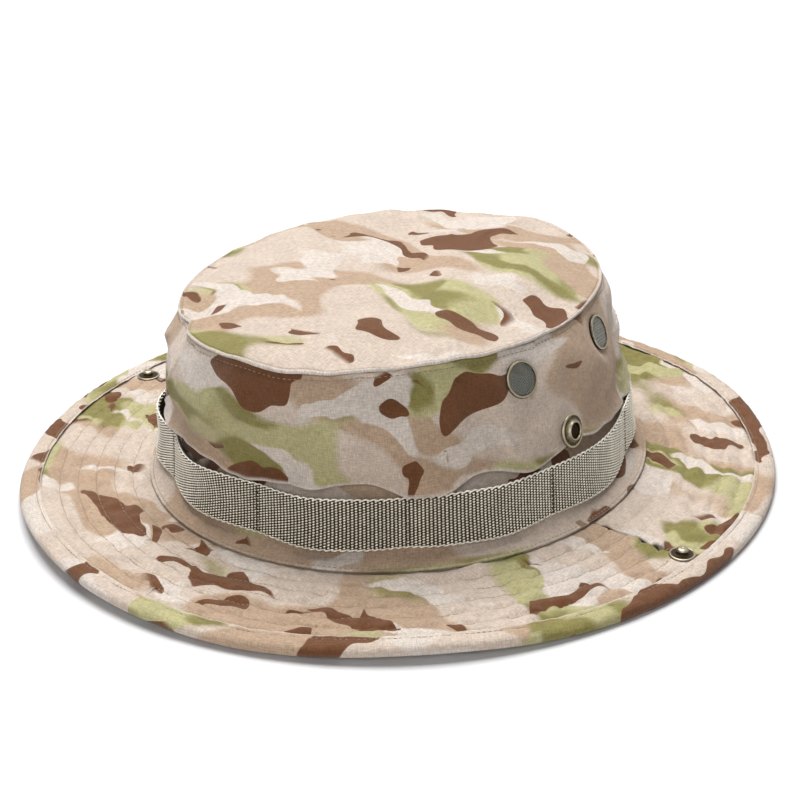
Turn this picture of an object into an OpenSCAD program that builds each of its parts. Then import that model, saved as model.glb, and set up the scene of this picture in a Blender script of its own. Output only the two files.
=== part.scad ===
// Boonie hat: a soft oval crown on a collar band with webbing loops, and a quilted brim.
// The two sides of the brim fold up about lines beside the collar and close with press studs.
// The hat stands on its brim: x runs across the head, -y to the front and z up.

/* [Band and collar] */
// Half width of the collar band at its root
band_a = 92.4; // [84:0.1:100]
// Half length of the collar band at its root
band_b = 99.1; // [90:0.1:110]
// Thickness of the band's cloth
band_t = 0.9; // [0.6:0.1:1.2]
// How far the collar flares out over the brim
flare_w = 9.2; // [6:0.1:12]
// Height of the collar's flare
flare_h = 7; // [5:0.1:9]
// How far the band leans in at the top of the webbing
band_lean = 1; // [0:0.1:1.2]
// How far the band reaches up behind the crown's hem
band_tuck = 1.2; // [0.8:0.1:3]

/* [Sweatband] */
// Thickness of the sweatband
sweat_t = 1.2; // [0.8:0.1:2]
// How far the sweatband stops short of the band's top
sweat_short = 1.5; // [1:0.1:4]

/* [Webbing loops] */
// Width of the webbing
web_h = 20; // [15:0.5:25]
// Thickness of the webbing
web_t = 1.3; // [0.8:0.1:1.6]
// Height of the webbing's lower edge above the collar's edge
web_lift = 5.4; // [4:0.1:9]
// How far each loop bows out between its tacks
web_bow = 2.2; // [0.5:0.1:3]
// Number of sewn tacks round the webbing
web_tacks = 10; // [6:1:12]
// Angle of the first tack
web_turn = -85; // [-90:1:-60]

/* [Crown] */
// Height of the crown's hem above the webbing
hem_lift = 3.6; // [3:0.1:8]
// How far the hem lies inside the band's root at the sides
hem_in_side = 2.6; // [1.8:0.1:4]
// How far the hem lies inside the band's root at the front and back
hem_in_end = 0.7; // [0:0.1:3]
// Height of the crown's side from hem to top seam
side_h = 44.3; // [40:0.1:60]
// How far the side tapers in at the sides
taper_side = 11.4; // [6:0.1:16]
// How far the side tapers in at the front and back
taper_end = 3.4; // [-2:0.1:10]
// Outward bulge of the side between hem and seam
side_bulge = 3.2; // [0:0.1:4]
// Depth of the soft waves in the side
side_wave = 0.7; // [0:0.1:1]
// Number of soft waves round the side
side_waves = 7; // [5:1:9]
// How far the top panel leans to the front
top_lean = 2.8; // [0:0.1:4]
// Rise of the top panel above its seam
dome_rise = 6; // [2:0.1:14]
// Thickness of the crown's cloth
cloth_t = 1.2; // [0.8:0.1:1.6]
// Thickness of the crown's folded hem
hem_t = 1.8; // [1.6:0.1:2.4]
// Height of the crown's folded hem
hem_h = 4; // [3:0.1:6]
// Height of the raised welt along the top seam
welt_h = 0.8; // [0.4:0.1:1.5]
// Width of the raised welt along the top seam
welt_w = 2.4; // [1.5:0.1:4]

/* [Brim] */
// Width of the brim from the collar's edge to its own edge
brim_w = 53.5; // [48:0.5:62]
// How far the brim falls from the collar to its edge
brim_drop = 2; // [1:0.1:6]
// How far the front edge lifts off the ground
front_lift = 3; // [0:0.1:6]
// Thickness of the upper cloth of the brim
upper_t = 1.2; // [0.9:0.1:1.6]
// Thickness of the stiff layer inside the brim
lining_t = 0.9; // [0.6:0.1:1.4]
// Thickness of the lower cloth of the brim
lower_t = 0.8; // [0.6:0.1:1.2]
// Number of quilted channels between collar and binding
quilt_rows = 6; // [4:1:8]
// Depth of the stitched channels
quilt_depth = 0.5; // [0.2:0.05:0.7]
// Width of the binding round the brim's edge
bind_w = 8.6; // [6:0.1:11]
// Thickness of the binding's cloth
bind_t = 0.55; // [0.4:0.05:0.8]

/* [Press studs] */
// Forward offset of the press studs and of the brim's side seams
snap_y = -8; // [-12:0.5:4]
// Radius of the stud's flange on the brim
stud_r = 5.2; // [4.2:0.1:6]
// Thickness of the stud's flange
stud_flange_t = 0.9; // [0.7:0.1:1.2]
// Radius of the stud's head
stud_head_r = 2.4; // [2:0.1:2.6]
// Height of the stud above the brim
stud_h = 3.2; // [2.6:0.1:3.3]
// Radius of the socket on the crown
socket_r = 7; // [6:0.1:8]
// Height of the socket above the crown's side
socket_h = 3.6; // [3.2:0.1:4.2]
// Radius of the rivet caps behind studs and sockets
rivet_r = 4.5; // [4:0.1:5]
// Thickness of the rivet caps
rivet_t = 0.7; // [0.5:0.05:0.8]
// Radius of the rivet shanks
shank_r = 1.4; // [1:0.1:1.6]

/* [Vents] */
// Distance of the vents below the top seam
vent_drop = 10.9; // [10:0.1:18]
// Forward offset of the middle of each pair of vents
vent_y = -2; // [-6:0.5:4]
// Distance between the two vents of a pair
vent_pitch = 55; // [40:0.5:60]
// Outer radius of the vent rim
vent_r = 7.25; // [6.5:0.05:8]
// Radius of the open eye of the vent
vent_eye_r = 5; // [4:0.05:5.2]
// Height of the vent rim above the crown's side
vent_rim_h = 1.3; // [1.1:0.05:1.8]
// Wall of the vent's barrel
vent_wall = 0.6; // [0.4:0.05:0.8]
// Thickness of the washer inside the crown
vent_washer_t = 0.8; // [0.5:0.05:1]
// Spacing of the wires in the vent screens
screen_pitch = 1.3; // [1.1:0.05:1.6]
// Thickness of the vent screens' wires
screen_wire = 0.4; // [0.3:0.05:0.5]

/* [Clearances] */
// Gap between cloth pieces that are sewn together
seam_gap = 0.3; // [0.2:0.05:0.4]
// Gap between the layers of the brim
layer_gap = 0.1; // [0.08:0.01:0.15]
// Gap between the brim and its fold-up sides
fold_gap = 0.3; // [0.25:0.05:0.5]
// Distance of the fold line from the collar's edge
fold_out = 0.9; // [0.8:0.05:2]
// Gap between metal pieces that are riveted together
rivet_gap = 0.1; // [0.05:0.01:0.15]
// Gap between stud and socket when they are closed
snap_gap = 0.3; // [0.25:0.05:0.5]
// Radial room for the stud's head in its socket
mouth_gap = 0.5; // [0.45:0.05:0.7]

/* [Hidden] */
$fn = 48;

// Colours of the pieces
print_cloth = "#c9b79c";
plain_cloth = "#a8977b";
olive_web = "#84806a";
lining_cloth = "#d8d0c0";
antique_metal = "#6f6450";
screen_metal = "#8b8f90";

// Steps of the cloth grids
ring_steps = 48;
half_steps = 24;
flap_steps = 16;
side_rows = 9;
dome_rings = 4;
bow_steps = 6;
flare_rows = 3;

// Heights, from the ground up
brim_t = upper_t + lining_t + lower_t + 2 * layer_gap;
edge_z = brim_t + layer_gap + bind_t;
root_z = edge_z + brim_drop;
collar_z = root_z + layer_gap + band_t;
flare_z = collar_z + flare_h;
web_z = collar_z + web_lift;
web_top_z = web_z + web_h;
hem_z = web_top_z + hem_lift;
seam_z = hem_z + side_h;

// Half axes of the collar's edge, the hem and the top seam
collar_a = band_a + flare_w;
collar_b = band_b + flare_w;
hem_a = band_a - hem_in_side;
hem_b = band_b - hem_in_end;
top_a = hem_a - taper_side;
top_b = hem_b - taper_end;

// The brim is measured outwards from the collar's edge
brim_in = -flare_w - band_t;
bind_round = brim_t / 4;
ply_out = brim_w - 2 * bind_round - bind_t;
quilt_w = brim_w - bind_w;
quilt_pitch = quilt_w / quilt_rows;
lift_start = 0.4;

// Fold line of the right side
fold_x = collar_a + fold_out;
fold_z = brim_z(fold_out, 0);

// Stud on the right side of the brim, on the quilted part and clear of the binding
stud_d = brim_w - bind_w - stud_r - seam_gap;
stud_x = sqrt(1 - pow(snap_y / (collar_b + stud_d), 2)) * (collar_a + stud_d);
stud_z = brim_z(stud_d, 0);
brim_tilt = atan(brim_drop / brim_w);
stud_axis = [sin(brim_tilt), cos(brim_tilt)];
snap_stack = socket_h + stud_flange_t + snap_gap;

// The side is folded up as far as the socket on the crown lets it
least_turn = 60;
most_turn = 150;
halvings = 40;
snap_turn = closing_turn(least_turn, most_turn, halvings);
socket_seat = seat_at(snap_turn);
socket_x = socket_seat[0];
socket_z = socket_seat[1];
socket_tilt = snap_turn - brim_tilt;
mouth_r = stud_head_r + mouth_gap;
socket_floor = 0.8;

// Tops of the pieces that end behind the crown's hem
band_top_z = hem_z + band_tuck;
sweat_top_z = band_top_z - sweat_short;

// Points on an ellipse, on the brim and on the crown's side
function oval(a, b, t, z) = [a * cos(t), b * sin(t), z];

function edge_lift(t) = front_lift * pow(max(0, (-sin(t) - lift_start) / (1 - lift_start)), 2);

function brim_z(d, t) = root_z + d / brim_w * (edge_lift(t) - brim_drop);

function brim_point(d, t, dz) = oval(collar_a + d, collar_b + d, t, brim_z(d, t) + dz);

function wave(q, t) = side_wave * sin(180 * q) * cos(side_waves * t + 90 * q);

function wall_point(q, t, inset) =
    let (out = side_bulge * sin(180 * q) + wave(q, t) - inset)
    let (a = hem_a - taper_side * q + out)
    let (b = hem_b - taper_end * q + out)
    oval(a, b, t, hem_z + side_h * q) - [0, top_lean * q, 0];

// Angle on the crown's side at which a given y is met
function wall_angle(q, y) =
    let (b = hem_b - taper_end * q + side_bulge * sin(180 * q))
    asin((y + top_lean * q) / b);

function wall_normal(q, t) =
    let (step = 0.01)
    let (up = wall_point(q + step, t, 0) - wall_point(q - step, t, 0))
    let (along = wall_point(q, t + step, 0) - wall_point(q, t - step, 0))
    let (n = cross(along, up))
    n / norm(n);

// Seat of the socket, as x and z, for a given turn of the folded side
function seat_at(turn) =
    let (x = stud_x - fold_x + stud_axis[0] * snap_stack)
    let (z = stud_z - fold_z + stud_axis[1] * snap_stack)
    [fold_x + x * cos(turn) - z * sin(turn), fold_z + x * sin(turn) + z * cos(turn)];

// Distance of that seat from the crown's side
function seat_gap(turn) =
    let (seat = seat_at(turn))
    let (q = (seat[1] - hem_z) / side_h)
    seat[0] - wall_point(q, wall_angle(q, snap_y), 0)[0];

// Turn at which the seat lies on the crown's side, by halving the interval
function closing_turn(low, high, passes) =
    let (mid = (low + high) / 2)
    passes == 0 ? mid :
    seat_gap(mid) > 0 ? closing_turn(mid, high, passes - 1) : closing_turn(low, mid, passes - 1);

// Faces of a closed solid between two grids of points; on a strip the diagonals lean away from its ends
function grid_index(g, i, j, rows, cols) = g * rows * cols + i * cols + j % cols;

function two_faces(a, b, c, d, flip = false) = flip ? [[a, b, d], [b, c, d]] : [[a, b, c], [a, c, d]];

function skin_faces(rows, cols, wrap) =
    let (last = wrap ? cols - 1 : cols - 2)
    let (k = function (g, i, j) grid_index(g, i, j, rows, cols))
    let (end = rows - 1)
    let (far = cols - 1)
    let (flip = function (j) !wrap && j < far / 2)
    [
        for (i = [0 : rows - 2], j = [0 : last])
            each two_faces(k(0, i, j), k(0, i, j + 1), k(0, i + 1, j + 1), k(0, i + 1, j), flip(j)),
        for (i = [0 : rows - 2], j = [0 : last])
            each two_faces(k(1, i, j), k(1, i + 1, j), k(1, i + 1, j + 1), k(1, i, j + 1), flip(j)),
        for (j = [0 : last])
            each two_faces(k(0, 0, j + 1), k(0, 0, j), k(1, 0, j), k(1, 0, j + 1)),
        for (j = [0 : last])
            each two_faces(k(0, end, j), k(0, end, j + 1), k(1, end, j + 1), k(1, end, j)),
        if (!wrap)
            for (i = [0 : rows - 2])
                each two_faces(k(0, i, 0), k(0, i + 1, 0), k(1, i + 1, 0), k(1, i, 0)),
        if (!wrap)
            for (i = [0 : rows - 2])
                each two_faces(k(0, i + 1, far), k(0, i, far), k(1, i, far), k(1, i + 1, far))
    ];

// A sheet of cloth with thickness: its two grids have the same rows, and wrap closes them into a ring
module skin(outside, inside, wrap) {
    points = [for (grid = [outside, inside], row = grid) each row];
    polyhedron(points, skin_faces(len(outside), len(outside[0]), wrap));
}

// A disc of cloth with thickness: rings from small to large, closed by a point in the middle
module disc_skin(outside, inside, top_point, under_point) {
    rows = len(outside);
    cols = len(outside[0]);
    count = rows * cols;
    points = [for (grid = [outside, inside], row = grid) each row];
    shell = [
        for (i = [0 : rows - 2], j = [0 : cols - 1])
            each two_faces(
                grid_index(0, i, j, rows, cols), grid_index(0, i, j + 1, rows, cols),
                grid_index(0, i + 1, j + 1, rows, cols), grid_index(0, i + 1, j, rows, cols)),
        for (i = [0 : rows - 2], j = [0 : cols - 1])
            each two_faces(
                grid_index(1, i, j, rows, cols), grid_index(1, i + 1, j, rows, cols),
                grid_index(1, i + 1, j + 1, rows, cols), grid_index(1, i, j + 1, rows, cols)),
        for (j = [0 : cols - 1])
            each two_faces(
                grid_index(0, rows - 1, j, rows, cols), grid_index(0, rows - 1, j + 1, rows, cols),
                grid_index(1, rows - 1, j + 1, rows, cols), grid_index(1, rows - 1, j, rows, cols))
    ];
    middle = [
        for (j = [0 : cols - 1])
            [2 * count, grid_index(0, 0, j + 1, rows, cols), grid_index(0, 0, j, rows, cols)],
        for (j = [0 : cols - 1])
            [grid_index(1, 0, j, rows, cols), grid_index(1, 0, j + 1, rows, cols), 2 * count + 1]
    ];
    polyhedron(concat(points, [top_point, under_point]), concat(shell, middle));
}

function ring_angles(steps) = [for (j = [0 : steps - 1]) 360 * j / steps];

// Crown: the top panel overlaps the side and carries the raised welt of the seam
module crown_top() {
    rim_a = top_a + welt_h;
    rim_b = top_b + welt_h;
    inner = [for (i = [1 : dome_rings]) i / (dome_rings + 0.4)];
    foot = 1.6 * welt_w;
    rise = function (q) seam_z + seam_gap + dome_rise * (1 - q * q);
    ring = function (q, dz) [
        for (t = ring_angles(ring_steps)) oval(rim_a * q, rim_b * q, t, rise(q) + dz) - [0, top_lean, 0]
    ];
    valley = 1 - foot / rim_a;
    crest = 1 - welt_w / 2 / rim_a;
    color(print_cloth)
        disc_skin(
            concat([for (q = inner) if (q < valley) ring(q, cloth_t)],
                [ring(valley, cloth_t), ring(crest, cloth_t + welt_h), ring(1, cloth_t / 2 + welt_h)]),
            concat([for (q = inner) if (q < valley) ring(q, 0)],
                [ring(valley, 0), ring(crest, 0), ring(1, 0)]),
            [0, -top_lean, rise(0) + cloth_t], [0, -top_lean, rise(0)]);
}

// Side of the crown, from the top seam down to the folded hem
module crown_side() {
    hem_q = hem_h / side_h;
    levels = concat([for (i = [0 : side_rows - 1]) 1 - (1 - hem_q) * i / (side_rows - 1)], [hem_q / 2, 0]);
    inset = function (q) cloth_t + (hem_t - cloth_t) * max(0, 1 - q / hem_q);
    color(print_cloth)
        difference() {
            skin(
                [for (q = levels) [for (t = ring_angles(ring_steps)) wall_point(q, t, 0)]],
                [for (q = levels) [for (t = ring_angles(ring_steps)) wall_point(q, t, inset(q))]],
                true);
            at_vents() vent_hole();
            at_sockets() socket_hole();
        }
}

// Band behind the webbing, with its flare sewn on the brim
module collar_band() {
    top_in = hem_t + seam_gap;
    upright = function (off) [
        [hem_a - top_in - off, hem_b - top_in - off, band_top_z],
        [hem_a - top_in - off, hem_b - top_in - off, hem_z - 2 * seam_gap],
        [band_a - band_lean - off, band_b - band_lean - off, web_top_z]
    ];
    flare = function (off) [
        for (i = [0 : flare_rows])
            let (turn = 90 * i / flare_rows)
            let (d = (flare_w + off) * cos(turn))
            [collar_a - d, collar_b - d, flare_z - (flare_h + off) * sin(turn)]
    ];
    rings = function (off) [
        for (r = concat(upright(off), flare(off)))
            [for (t = ring_angles(ring_steps)) oval(r[0], r[1], t, r[2])]
    ];
    color(plain_cloth)
        difference() {
            skin(rings(0), rings(band_t), true);
            at_sockets() socket_hole();
        }
}

// Sweatband inside the collar band
module sweatband() {
    top_in = hem_t + 2 * seam_gap + band_t;
    low_in = band_t + seam_gap;
    shape = function (off) [
        [hem_a - top_in - off, hem_b - top_in - off, sweat_top_z],
        [hem_a - top_in - off, hem_b - top_in - off, hem_z - 2 * seam_gap],
        [band_a - band_lean - low_in - off, band_b - band_lean - low_in - off, web_top_z - 2 * seam_gap],
        [band_a - low_in - off, band_b - low_in - off, flare_z - seam_gap],
        [band_a - low_in - off, band_b - low_in - off, root_z - brim_t]
    ];
    rings = function (off) [
        for (r = shape(off)) [for (t = ring_angles(ring_steps)) oval(r[0], r[1], t, r[2])]
    ];
    color(lining_cloth)
        difference() {
            skin(rings(0), rings(sweat_t), true);
            at_sockets() socket_hole();
        }
}

// Webbing, tacked to the band and bowed out into a loop between tacks
module webbing_band() {
    steps = web_tacks * bow_steps;
    angles = [for (j = [0 : steps - 1]) web_turn + 360 * j / steps];
    bow = function (j) web_bow * pow(sin(180 * (j % bow_steps) / bow_steps), 2);
    flare_at = (flare_z - web_z) / flare_h;
    low_out = flare_w * (1 - cos(asin(max(0, flare_at))));
    high = seam_gap - band_lean;
    low = seam_gap + low_out;
    rings = function (off) [
        for (r = [[high, web_top_z], [seam_gap, flare_z + seam_gap], [low, web_z]])
            [for (j = [0 : steps - 1])
                oval(band_a + r[0] + bow(j) + off, band_b + r[0] + bow(j) + off, angles[j], r[1])]
    ];
    color(olive_web)
        difference() {
            skin(rings(web_t), rings(0), true);
            at_sockets() socket_hole();
        }
}

// Rails of the brim: distances from the collar's edge at each channel and each crest between channels
quilt_rails = [for (i = [1 : 2 * quilt_rows]) quilt_pitch * i / 2];
flat_rails = [quilt_w / 8, quilt_w / 2, quilt_w];
flap_start = fold_out + fold_gap / 2 + 2 * seam_gap;

function channel(d) = d < 0 ? 0 : quilt_depth * pow(cos(180 * min(d, quilt_w) / quilt_pitch), 2);

// Half angle at which a rail meets the cut beside the fold line
function cut_angle(d, x) = acos(min(1, x / (collar_a + d)));

// Angles along a rail of the front or back of the brim, and of its right side
function seam_angle(d, side) = asin((snap_y + side * seam_gap / 4) / (collar_b + d));

function half_angles(d, side) =
    let (cut = cut_angle(d, fold_x - fold_gap / 2))
    let (stop = cut > 0 ? cut : side * seam_angle(d, side))
    [for (j = [0 : half_steps]) side * 90 + (2 * j / half_steps - 1) * (90 - stop)];

function flap_angles(d) =
    let (cut = cut_angle(d, fold_x + fold_gap / 2))
    [for (j = [0 : flap_steps]) (2 * j / flap_steps - 1) * cut];

function half_rails(rails) = concat([brim_in, fold_out - fold_gap / 2], rails, [ply_out]);

function flap_rails(rails) = concat([flap_start], [for (d = rails) if (d > flap_start + 1) d], [ply_out]);

// Angles of every column on rail d: side is 1 at the back, -1 at the front and 0 on the folding side
function rail_angles(d, side) = side == 0 ? flap_angles(d) : half_angles(d, side);

function rail_rows(rails, side, dz) = [
    for (d = rails) [for (t = rail_angles(d, side)) brim_point(d, t, dz(d))]
];

module ply(rails, side, top, under) {
    skin(rail_rows(rails, side, top), rail_rows(rails, side, under), false);
}

module upper_ply(side) {
    rails = side == 0 ? flap_rails(quilt_rails) : half_rails(quilt_rails);
    color(print_cloth) ply(rails, side, function (d) -channel(d), function (d) -upper_t);
}

module lining_ply(side) {
    rails = side == 0 ? flap_rails(flat_rails) : half_rails(flat_rails);
    top = -upper_t - layer_gap;
    color(lining_cloth) ply(rails, side, function (d) top, function (d) top - lining_t);
}

module lower_ply(side) {
    rails = side == 0 ? flap_rails(flat_rails) : half_rails(flat_rails);
    color(plain_cloth) ply(rails, side, function (d) lower_t - brim_t, function (d) -brim_t);
}

// Binding folded round the brim's edge; its underside is flat where the hat stands on it
module binding(side) {
    top = layer_gap + bind_t;
    under = -brim_t - layer_gap - bind_t;
    foot_w = bind_w / 2;
    level = function (d) brim_drop * (d / brim_w - 1);
    outer = [
        [brim_w - bind_w, top], [brim_w - 2 * bind_round, top], [brim_w - bind_round / 3, top - bind_round],
        [brim_w, -brim_t / 2],
        [brim_w - bind_round / 3, under + bind_round],
        [brim_w - 2 * bind_round, under + level(brim_w - 2 * bind_round)],
        [brim_w - foot_w, under + level(brim_w - foot_w)], [brim_w - bind_w, under]
    ];
    inner = [
        [brim_w - bind_w, layer_gap], [brim_w - 2 * bind_round - bind_t, layer_gap],
        [brim_w - bind_round / 3 - bind_t, layer_gap - bind_round],
        [brim_w - bind_t, -brim_t / 2],
        [brim_w - bind_round / 3 - bind_t, bind_round - brim_t - layer_gap],
        [brim_w - 2 * bind_round - bind_t, -brim_t - layer_gap],
        [brim_w - foot_w, -brim_t - layer_gap], [brim_w - bind_w, -brim_t - layer_gap]
    ];
    rows = function (path) [
        for (p = path) [for (t = rail_angles(p[0], side)) brim_point(p[0], t, p[1])]
    ];
    color(print_cloth) skin(rows(outer), rows(inner), false);
}

// Places on the crown and on the brim, with local z pointing out of the cloth
module at_wall(q, t) {
    n = wall_normal(q, t);
    translate(wall_point(q, t, 0))
        rotate([0, acos(n[2]), atan2(n[1], n[0])])
            children();
}

module at_vents() {
    q = 1 - vent_drop / side_h;
    for (end = [-1, 1], flip = [0, 1])
        mirror([flip, 0, 0])
            at_wall(q, wall_angle(q, vent_y + end * vent_pitch / 2))
                children();
}

module at_right_socket() {
    translate([socket_x, snap_y, socket_z])
        rotate([0, 180 - socket_tilt, 0])
            children();
}

module at_sockets() {
    for (flip = [0, 1])
        mirror([flip, 0, 0]) at_right_socket() children();
}

module at_right_stud() {
    translate([stud_x, snap_y, stud_z])
        rotate([0, brim_tilt, 0])
            children();
}

// Vents: a turned rim, a wire screen held under its lip and a washer inside the crown
vent_bore_r = vent_eye_r + 2 * screen_wire;
vent_barrel_r = vent_bore_r + vent_wall;
vent_seat = seam_gap;
vent_washer_z = -cloth_t - 3 * seam_gap;
vent_lip_z = vent_seat + 0.55 * vent_rim_h;
barrel_end_z = vent_washer_z - vent_washer_t;

module vent_hole() {
    translate([0, 0, barrel_end_z - vent_r])
        cylinder(r = vent_barrel_r + rivet_gap, h = 2 * vent_r - barrel_end_z);
}

module vent_rim() {
    top = vent_seat + vent_rim_h;
    rotate_extrude()
        polygon([
            [vent_bore_r, barrel_end_z], [vent_barrel_r, barrel_end_z], [vent_barrel_r, vent_seat],
            [vent_r - 0.3 * vent_rim_h, vent_seat], [vent_r, vent_seat + 0.3 * vent_rim_h],
            [vent_r - 0.25 * vent_rim_h, top - 0.25 * vent_rim_h], [vent_r - 0.8 * vent_rim_h, top],
            [vent_eye_r + 0.4 * vent_rim_h, top], [vent_eye_r, top - 0.3 * vent_rim_h],
            [vent_eye_r, vent_lip_z], [vent_bore_r, vent_lip_z]
        ]);
}

module vent_screen() {
    disc_r = vent_bore_r - rivet_gap;
    ring_w = 2 * screen_wire;
    hole = screen_pitch - screen_wire;
    reach = floor((disc_r - ring_w) / screen_pitch);
    translate([0, 0, vent_lip_z - rivet_gap - screen_wire])
        linear_extrude(screen_wire)
            difference() {
                circle(r = disc_r);
                for (i = [-reach : reach], j = [-reach : reach])
                    if (norm([abs(i) * screen_pitch + hole / 2, abs(j) * screen_pitch + hole / 2])
                            < disc_r - ring_w / 2)
                        translate([i * screen_pitch, j * screen_pitch]) square(hole, center = true);
            }
}

module vent_washer() {
    translate([0, 0, vent_washer_z - vent_washer_t])
        rotate_extrude()
            translate([vent_barrel_r + rivet_gap, 0])
                square([vent_r - vent_barrel_r - rivet_gap, vent_washer_t]);
}

module vent_rims() {
    color(antique_metal) at_vents() vent_rim();
}

module vent_screens() {
    color(screen_metal) at_vents() vent_screen();
}

module vent_washers() {
    color(antique_metal) at_vents() vent_washer();
}

// Press studs: the socket and its rivet on the crown, the stud and its rivet on the brim
socket_rivet_z = -hem_t - seam_gap;

module socket_hole() {
    translate([0, 0, socket_rivet_z - rivet_t - socket_r])
        cylinder(r = shank_r + seam_gap, h = 2 * socket_r + hem_t);
    translate([0, 0, seam_gap / 3]) cylinder(r = socket_r + seam_gap, h = socket_h);
    translate([0, 0, socket_rivet_z - socket_r]) cylinder(r = rivet_r + seam_gap, h = socket_r);
}

module snap_socket() {
    seat = seam_gap / 2;
    bevel = socket_h / 6;
    rotate_extrude()
        polygon([
            [shank_r + rivet_gap, seat], [socket_r - bevel, seat], [socket_r, seat + bevel],
            [socket_r - bevel / 2, seat + 2 * bevel], [socket_r - 2.5 * bevel, socket_h - 1.5 * bevel],
            [mouth_r + 2 * bevel, socket_h - bevel / 2], [mouth_r + bevel, socket_h],
            [mouth_r, socket_h - bevel / 2], [mouth_r, socket_floor], [shank_r + rivet_gap, socket_floor]
        ]);
}

module socket_rivet() {
    translate([0, 0, socket_rivet_z - rivet_t]) cylinder(r = rivet_r, h = rivet_t);
    translate([0, 0, socket_rivet_z]) cylinder(r = shank_r, h = socket_floor - socket_rivet_z);
}

module stud_hole() {
    translate([0, 0, -2 * brim_t]) cylinder(r = shank_r + seam_gap, h = 4 * brim_t);
}

module snap_stud() {
    seat = layer_gap;
    flange = seat + stud_flange_t;
    bevel = stud_flange_t / 3;
    neck_r = stud_head_r - bevel;
    rotate_extrude()
        polygon([
            [shank_r + rivet_gap, seat], [stud_r, seat], [stud_r, flange - bevel], [stud_r - bevel, flange],
            [neck_r, flange], [neck_r, stud_h - 4 * bevel], [stud_head_r, stud_h - 3 * bevel],
            [stud_head_r, stud_h - 1.5 * bevel], [stud_head_r - 1.5 * bevel, stud_h], [0, stud_h],
            [0, flange], [shank_r + rivet_gap, flange]
        ]);
}

module stud_rivet() {
    under = -brim_t - 2 * layer_gap;
    translate([0, 0, under - rivet_t]) cylinder(r = rivet_r, h = rivet_t);
    translate([0, 0, under]) cylinder(r = shank_r, h = stud_flange_t - rivet_gap - under);
}

// Front and back of the brim
module brim_front_upper() {
    upper_ply(-1);
}

module brim_front_lining() {
    lining_ply(-1);
}

module brim_front_lower() {
    lower_ply(-1);
}

module brim_front_binding() {
    binding(-1);
}

module brim_back_upper() {
    upper_ply(1);
}

module brim_back_lining() {
    lining_ply(1);
}

module brim_back_lower() {
    lower_ply(1);
}

module brim_back_binding() {
    binding(1);
}

// Right side of the brim, with its press stud
module right_flap_upper() {
    color(print_cloth)
        difference() {
            upper_ply(0);
            at_right_stud() stud_hole();
        }
}

module right_flap_lining() {
    color(lining_cloth)
        difference() {
            lining_ply(0);
            at_right_stud() stud_hole();
        }
}

module right_flap_lower() {
    color(plain_cloth)
        difference() {
            lower_ply(0);
            at_right_stud() stud_hole();
        }
}

module right_flap_binding() {
    binding(0);
}

module right_snap_stud() {
    color(antique_metal) at_right_stud() snap_stud();
}

module right_stud_rivet() {
    color(antique_metal) at_right_stud() stud_rivet();
}

module right_snap_socket() {
    color(antique_metal) at_right_socket() snap_socket();
}

module right_socket_rivet() {
    color(antique_metal) at_right_socket() socket_rivet();
}

// Left side: the mirror image of the right
module left_side() {
    mirror([1, 0, 0]) children();
}

module left_flap_upper() {
    left_side() right_flap_upper();
}

module left_flap_lining() {
    left_side() right_flap_lining();
}

module left_flap_lower() {
    left_side() right_flap_lower();
}

module left_flap_binding() {
    left_side() right_flap_binding();
}

module left_snap_stud() {
    left_side() right_snap_stud();
}

module left_stud_rivet() {
    left_side() right_stud_rivet();
}

module left_snap_socket() {
    left_side() right_snap_socket();
}

module left_socket_rivet() {
    left_side() right_socket_rivet();
}

echo(fold_x = fold_x, fold_z = fold_z, snap_turn = snap_turn, socket_seat = socket_seat);
echo(stud_x = stud_x, stud_z = stud_z, socket_tilt = socket_tilt);

crown_top();
crown_side();
collar_band();
sweatband();
webbing_band();
brim_front_upper();
brim_front_lining();
brim_front_lower();
brim_front_binding();
brim_back_upper();
brim_back_lining();
brim_back_lower();
brim_back_binding();
vent_rims();
vent_screens();
vent_washers();
right_snap_socket();
right_socket_rivet();
left_snap_socket();
left_socket_rivet();
right_flap_upper();
right_flap_lining();
right_flap_lower();
right_flap_binding();
right_snap_stud();
right_stud_rivet();
left_flap_upper();
left_flap_lining();
left_flap_lower();
left_flap_binding();
left_snap_stud();
left_stud_rivet();
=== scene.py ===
"""Boonie hat: the cloth, stitching, webbing and metal fittings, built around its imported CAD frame."""
import math

import bmesh
import bpy
import numpy as np
from bpy.props import FloatProperty, FloatVectorProperty, PointerProperty
from mathutils import Matrix, Vector


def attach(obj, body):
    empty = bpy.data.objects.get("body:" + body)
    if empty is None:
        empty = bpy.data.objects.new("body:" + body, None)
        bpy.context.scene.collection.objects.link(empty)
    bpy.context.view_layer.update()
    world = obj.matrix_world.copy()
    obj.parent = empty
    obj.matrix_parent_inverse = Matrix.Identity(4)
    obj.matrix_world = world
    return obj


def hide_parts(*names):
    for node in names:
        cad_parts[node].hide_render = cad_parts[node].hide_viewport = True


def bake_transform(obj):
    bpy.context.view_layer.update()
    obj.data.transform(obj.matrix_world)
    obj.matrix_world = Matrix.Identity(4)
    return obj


bl_info = {
    "name": "Boonie hat",
    "version": (1, 0, 0),
    "blender": (4, 5, 0),
    "location": "View3D > Sidebar > Hat",
    "description": "Builds the cloth, stitches, webbing and metal fittings of a boonie hat",
    "category": "Object",
}

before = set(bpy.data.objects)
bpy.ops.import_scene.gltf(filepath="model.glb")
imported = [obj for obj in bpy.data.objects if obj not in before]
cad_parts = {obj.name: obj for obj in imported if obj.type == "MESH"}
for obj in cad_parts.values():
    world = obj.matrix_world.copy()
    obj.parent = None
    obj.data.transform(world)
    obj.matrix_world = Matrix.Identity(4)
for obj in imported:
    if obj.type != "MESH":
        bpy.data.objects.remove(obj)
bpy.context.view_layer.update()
MM = 0.001
LEVEL = (1, 1, 0)
CROWN = "crown_and_brim"
FLAPS = {"right": "right_flap", "left": "left_flap"}
SIDES = {"right": 1, "left": -1}

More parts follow.
